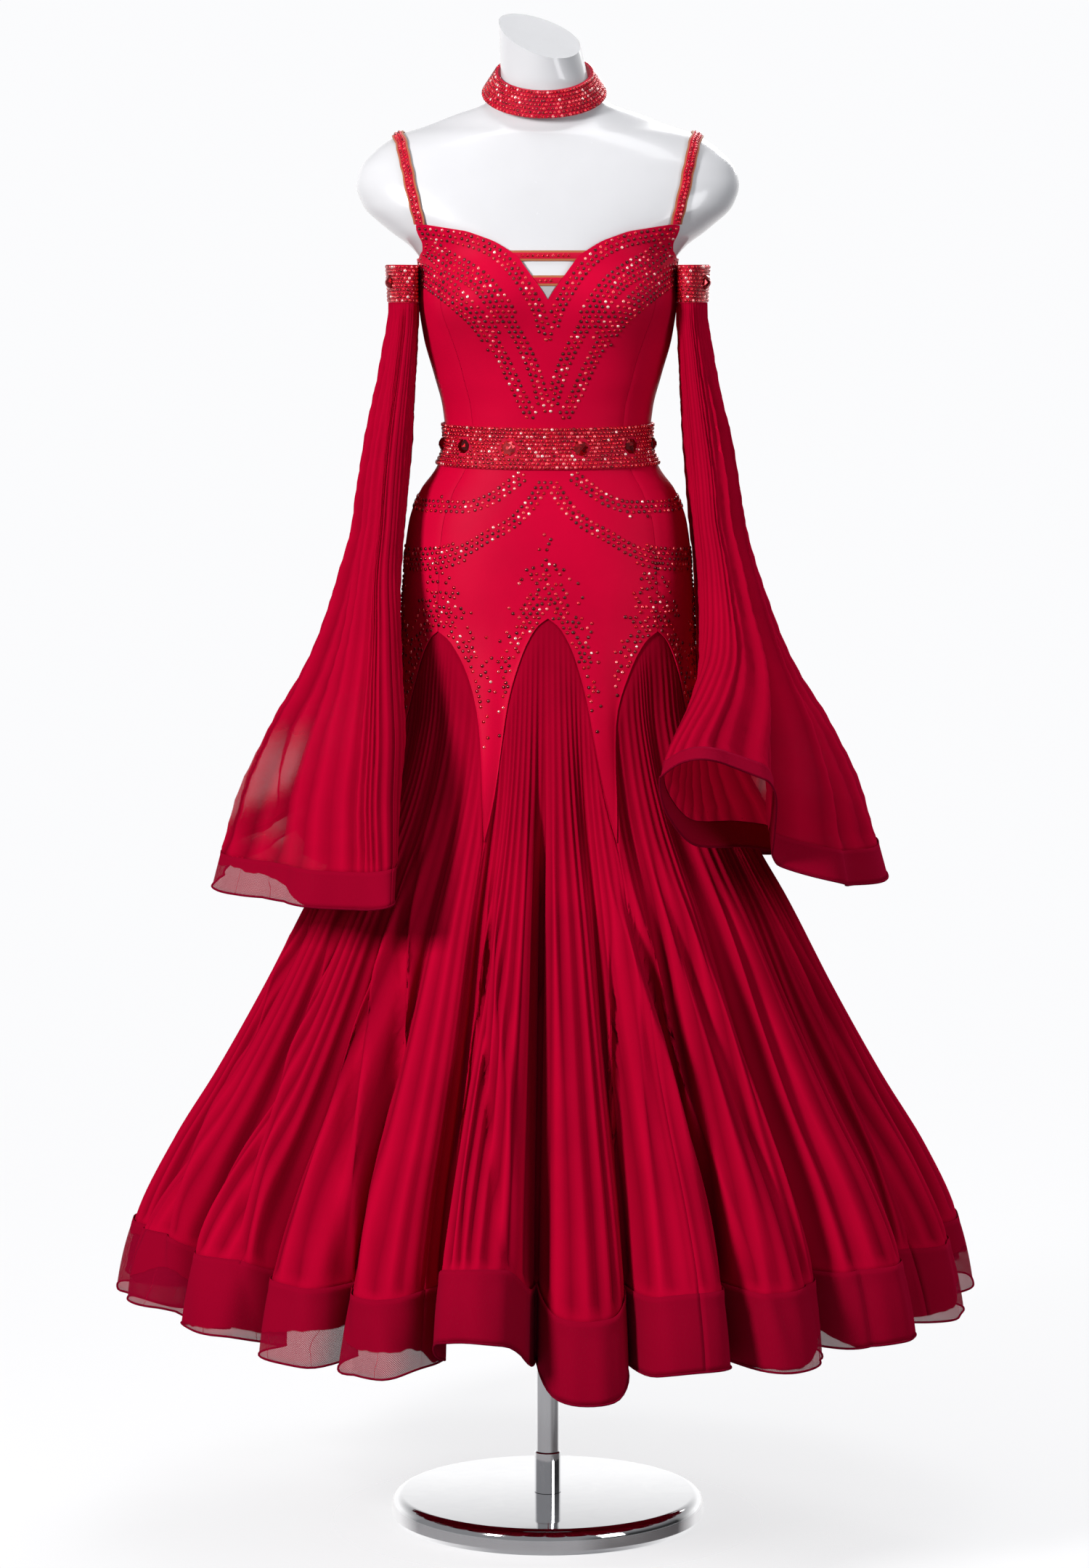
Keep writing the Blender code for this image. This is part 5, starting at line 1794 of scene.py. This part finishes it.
class DRESS_OT_neck_bars(bpy.types.Operator):
    """Two stoned bars across the V"""

    bl_idname = "dress.neck_bars"
    bl_label = "Neck bars"

    def execute(self, context):
        sizes = context.scene.dress_sizes
        near_v = np.radians(column_of(NECKLINE[:4], "angle"))
        heights_v = np.array(column_of(NECKLINE[:4], "z"))
        for i, centre in enumerate(BAR_CENTRES):
            levels = np.array([0.5, 0.30, 0.26, 0.0, -0.26, -0.30, -0.5])
            heights = centre + BAR_HEIGHT * levels
            ends = np.interp([centre + BAR_HEIGHT / 2, centre - BAR_HEIGHT / 2], heights_v, near_v)
            half = np.interp(heights, [centre - BAR_HEIGHT / 2, centre + BAR_HEIGHT / 2], ends[::-1])
            u = (half - BAR_SIDE_GAP)[:, None] * np.linspace(-1, 1, 25)
            z = np.repeat(heights[:, None], 25, axis=1)
            normals = surface_normals(dress_surface, u, z)
            crown = np.array([0, 0, 0.0004, 0.0006, 0.0004, 0, 0])[:, None, None]
            outer = dress_surface(u, z) + normals * (crown - 0.0003)
            inner = dress_surface(u, z) - normals * BODICE_WALL
            piece = wall(f"neck_bar_cloth_{i + 1}", outer, inner, False, "stone_backing",
                         [f"neck_bar_{i + 1}"], sharp=50)
            edge_with_elastic(piece, np.broadcast_to(levels[:, None], outer.shape[:2]), 0.29)
            reach = float(half.min() - BAR_SIDE_GAP) - 0.012
            near = 0.115
            at = np.arange(-reach, reach, 0.0043 / near)
            z = np.full(len(at), centre)
            set_stones(f"neck_bar_stones_{i + 1}", dress_surface(at, z),
                       surface_normals(dress_surface, at, z), sizes.stone, SMALL_CUT, "band_stone", 70 + i)
        return {"FINISHED"}


class DRESS_OT_dress_stones(bpy.types.Operator):
    """Bands and sprays of small stones on the bodice and hips"""

    bl_idname = "dress.dress_stones"
    bl_label = "Stones on the dress"

    def execute(self, context):
        sizes = context.scene.dress_sizes
        for seed, name, bands in (
            (1, "bodice_stones", (NECK_BAND, CHEST_BAND, SIDE_BAND, BACK_BAND)),
            (2, "hip_stones", (HIP_BAND, LOW_HIP_BAND)),
        ):
            chance = np.random.default_rng(seed)
            sites = []
            for rows in bands:
                for side in (-1, 1):
                    found = band_sites(rows, sizes, chance)
                    found[:, 0] *= side
                    sites.append(found)
            sites = np.concatenate(sites)
            clear = (sites[:, 1] < neckline(sites[:, 0]) - 0.0028)
            off_belt = np.abs(sites[:, 1] - belt_edge(sites[:, 0], 0.0)) > BELT_HEIGHT / 2 + 0.001
            dress_stones(name, sites[clear & off_belt], seed, sizes)
        chance = np.random.default_rng(3)
        sites = np.concatenate([spray_sites(k, sizes, chance) for k in range(len(GODETS))])
        dress_stones("godet_stones", sites, 3, sizes)
        return {"FINISHED"}


def soft_light(name, place, aim, size, power, colour):
    """A square area light that looks at a point."""
    data = bpy.data.lights.new(name, "AREA")
    data.shape = "RECTANGLE"
    data.size, data.size_y = size
    data.energy = power
    data.color = colour
    light = bpy.data.objects.new(name, data)
    bpy.context.scene.collection.objects.link(light)
    light.location = place
    light.rotation_euler = (Vector(aim) - Vector(place)).to_track_quat("-Z", "Y").to_euler()


def white_world(scene):
    """Even white seen by the camera; a dimmer room with a bright back wall for everything else."""
    world = bpy.data.worlds.new("studio_white")
    world.use_nodes = True
    tree = world.node_tree
    tree.nodes.remove(tree.nodes["Background"])
    room = Nodes(tree)
    x, y, z = (room.part(room.node("TexCoord", out="Generated"), i) for i in range(3))
    low = 1 - z.within(0.20, 0.55)
    shaded = x.within(0.35, 0.70) * low
    dim = room.node("Background", {}, {0: (0.95, 0.96, 1.0, 1.0), 1: 0.25 - shaded * 0.22})
    bright = room.node("Background", {}, {0: (1.0, 1.0, 1.0, 1.0), 1: 1.12})
    seen = room.node("Background", {}, {0: (0.968, 0.970, 0.982, 1.0)})
    glow = room.node("MixShader", {}, {0: y.within(0.35, 0.75) * low, 1: dim, 2: bright})
    plug(tree, tree.nodes["World Output"].inputs[0],
         room.node("MixShader", {}, {0: room.node("LightPath", out="Is Camera Ray"), 1: glow, 2: seen}))
    scene.world = world


class DRESS_OT_studio(bpy.types.Operator):
    """Pale floor, soft lights and the camera"""

    bl_idname = "dress.studio"
    bl_label = "Studio"

    def execute(self, context):
        scene = context.scene
        scene.view_settings.view_transform = "Standard"
        mesh = bpy.data.meshes.new("studio_floor")
        ring = [(14 * cos(a), 14 * sin(a), -0.0002) for a in np.linspace(0, 2 * pi, 96, endpoint=False)]
        mesh.from_pydata(ring, [], [list(range(96))])
        floor = bpy.data.objects.new("studio_floor", mesh)
        scene.collection.objects.link(floor)
        pale = Finish("pale_floor", {"Specular IOR Level": 0.0})
        clouds = pale.noise(1.5, 2)
        away = pale.node("VectorMath", {"operation": "LENGTH"}, {0: pale.place}, 1)
        pale.feed(base_color=pale.mixed(clouds, (0.92, 0.92, 0.93, 1.0), (0.94, 0.94, 0.95, 1.0)),
                  roughness=0.7 + clouds * 0.1, alpha=0.27 * (1 - away.within(0.2, 3.4)) ** 2)
        mesh.materials.append(pale.material)
        white_world(scene)
        soft_light("key_light", (-2.55, -2.75, 2.45), (0, 0, 1.0), (0.65, 0.95), 182, (1.0, 0.98, 0.97))
        soft_light("fill_light", (3.6, -3.2, 1.9), (0, 0, 0.9), (1.6, 2.4), 84, (0.97, 0.98, 1.0))
        soft_light("back_light", (1.2, 3.4, 3.2), (0, 0, 1.2), (2.0, 2.0), 100, (1.0, 1.0, 1.0))
        soft_light("top_light", (0.2, -0.3, 4.6), (0, 0, 1.4), (2.0, 2.0), 45, (1.0, 1.0, 1.0))
        data = bpy.data.cameras.new("photo_camera")
        camera = bpy.data.objects.new("photo_camera", data)
        scene.collection.objects.link(camera)
        camera.location = (-0.0036, -5.3, 1.4)
        camera.rotation_euler = (radians(90 - 6.2), 0, 0)
        data.lens = 111.1
        data.sensor_width = 36
        data.clip_end = 60
        scene.camera = camera
        return {"FINISHED"}


class DRESS_PT_panel(bpy.types.Panel):
    """Sizes, colours and buttons of the dress"""

    bl_idname = "DRESS_PT_panel"
    bl_label = "Ballroom dance dress"
    bl_space_type = "VIEW_3D"
    bl_region_type = "UI"
    bl_category = "Dress"

    def draw(self, context):
        for group in (context.scene.dress_sizes, context.scene.dress_colours):
            for label in group.bl_rna.properties.keys():
                if label not in ("rna_type", "name"):
                    self.layout.prop(group, label)
        for operator in OPERATORS:
            self.layout.operator(operator.bl_idname)


OPERATORS = (
    DRESS_OT_studio,
    DRESS_OT_stand,
    DRESS_OT_form,
    DRESS_OT_bodice,
    DRESS_OT_skirt,
    DRESS_OT_armlets,
    DRESS_OT_floats,
    DRESS_OT_belt,
    DRESS_OT_choker,
    DRESS_OT_straps,
    DRESS_OT_neck_bars,
    DRESS_OT_dress_stones,
)
CLASSES = (DressSizes, DressColours, DRESS_PT_panel) + OPERATORS


def register():
    for item in CLASSES:
        bpy.utils.register_class(item)
    bpy.types.Scene.dress_sizes = bpy.props.PointerProperty(type=DressSizes)
    bpy.types.Scene.dress_colours = bpy.props.PointerProperty(type=DressColours)


def unregister():
    del bpy.types.Scene.dress_sizes
    del bpy.types.Scene.dress_colours
    for item in reversed(CLASSES):
        bpy.utils.unregister_class(item)


def main():
    register()
    for operator in OPERATORS:
        group, action = operator.bl_idname.split(".")
        getattr(getattr(bpy.ops, group), action)()


if __name__ == "__main__":
    main()
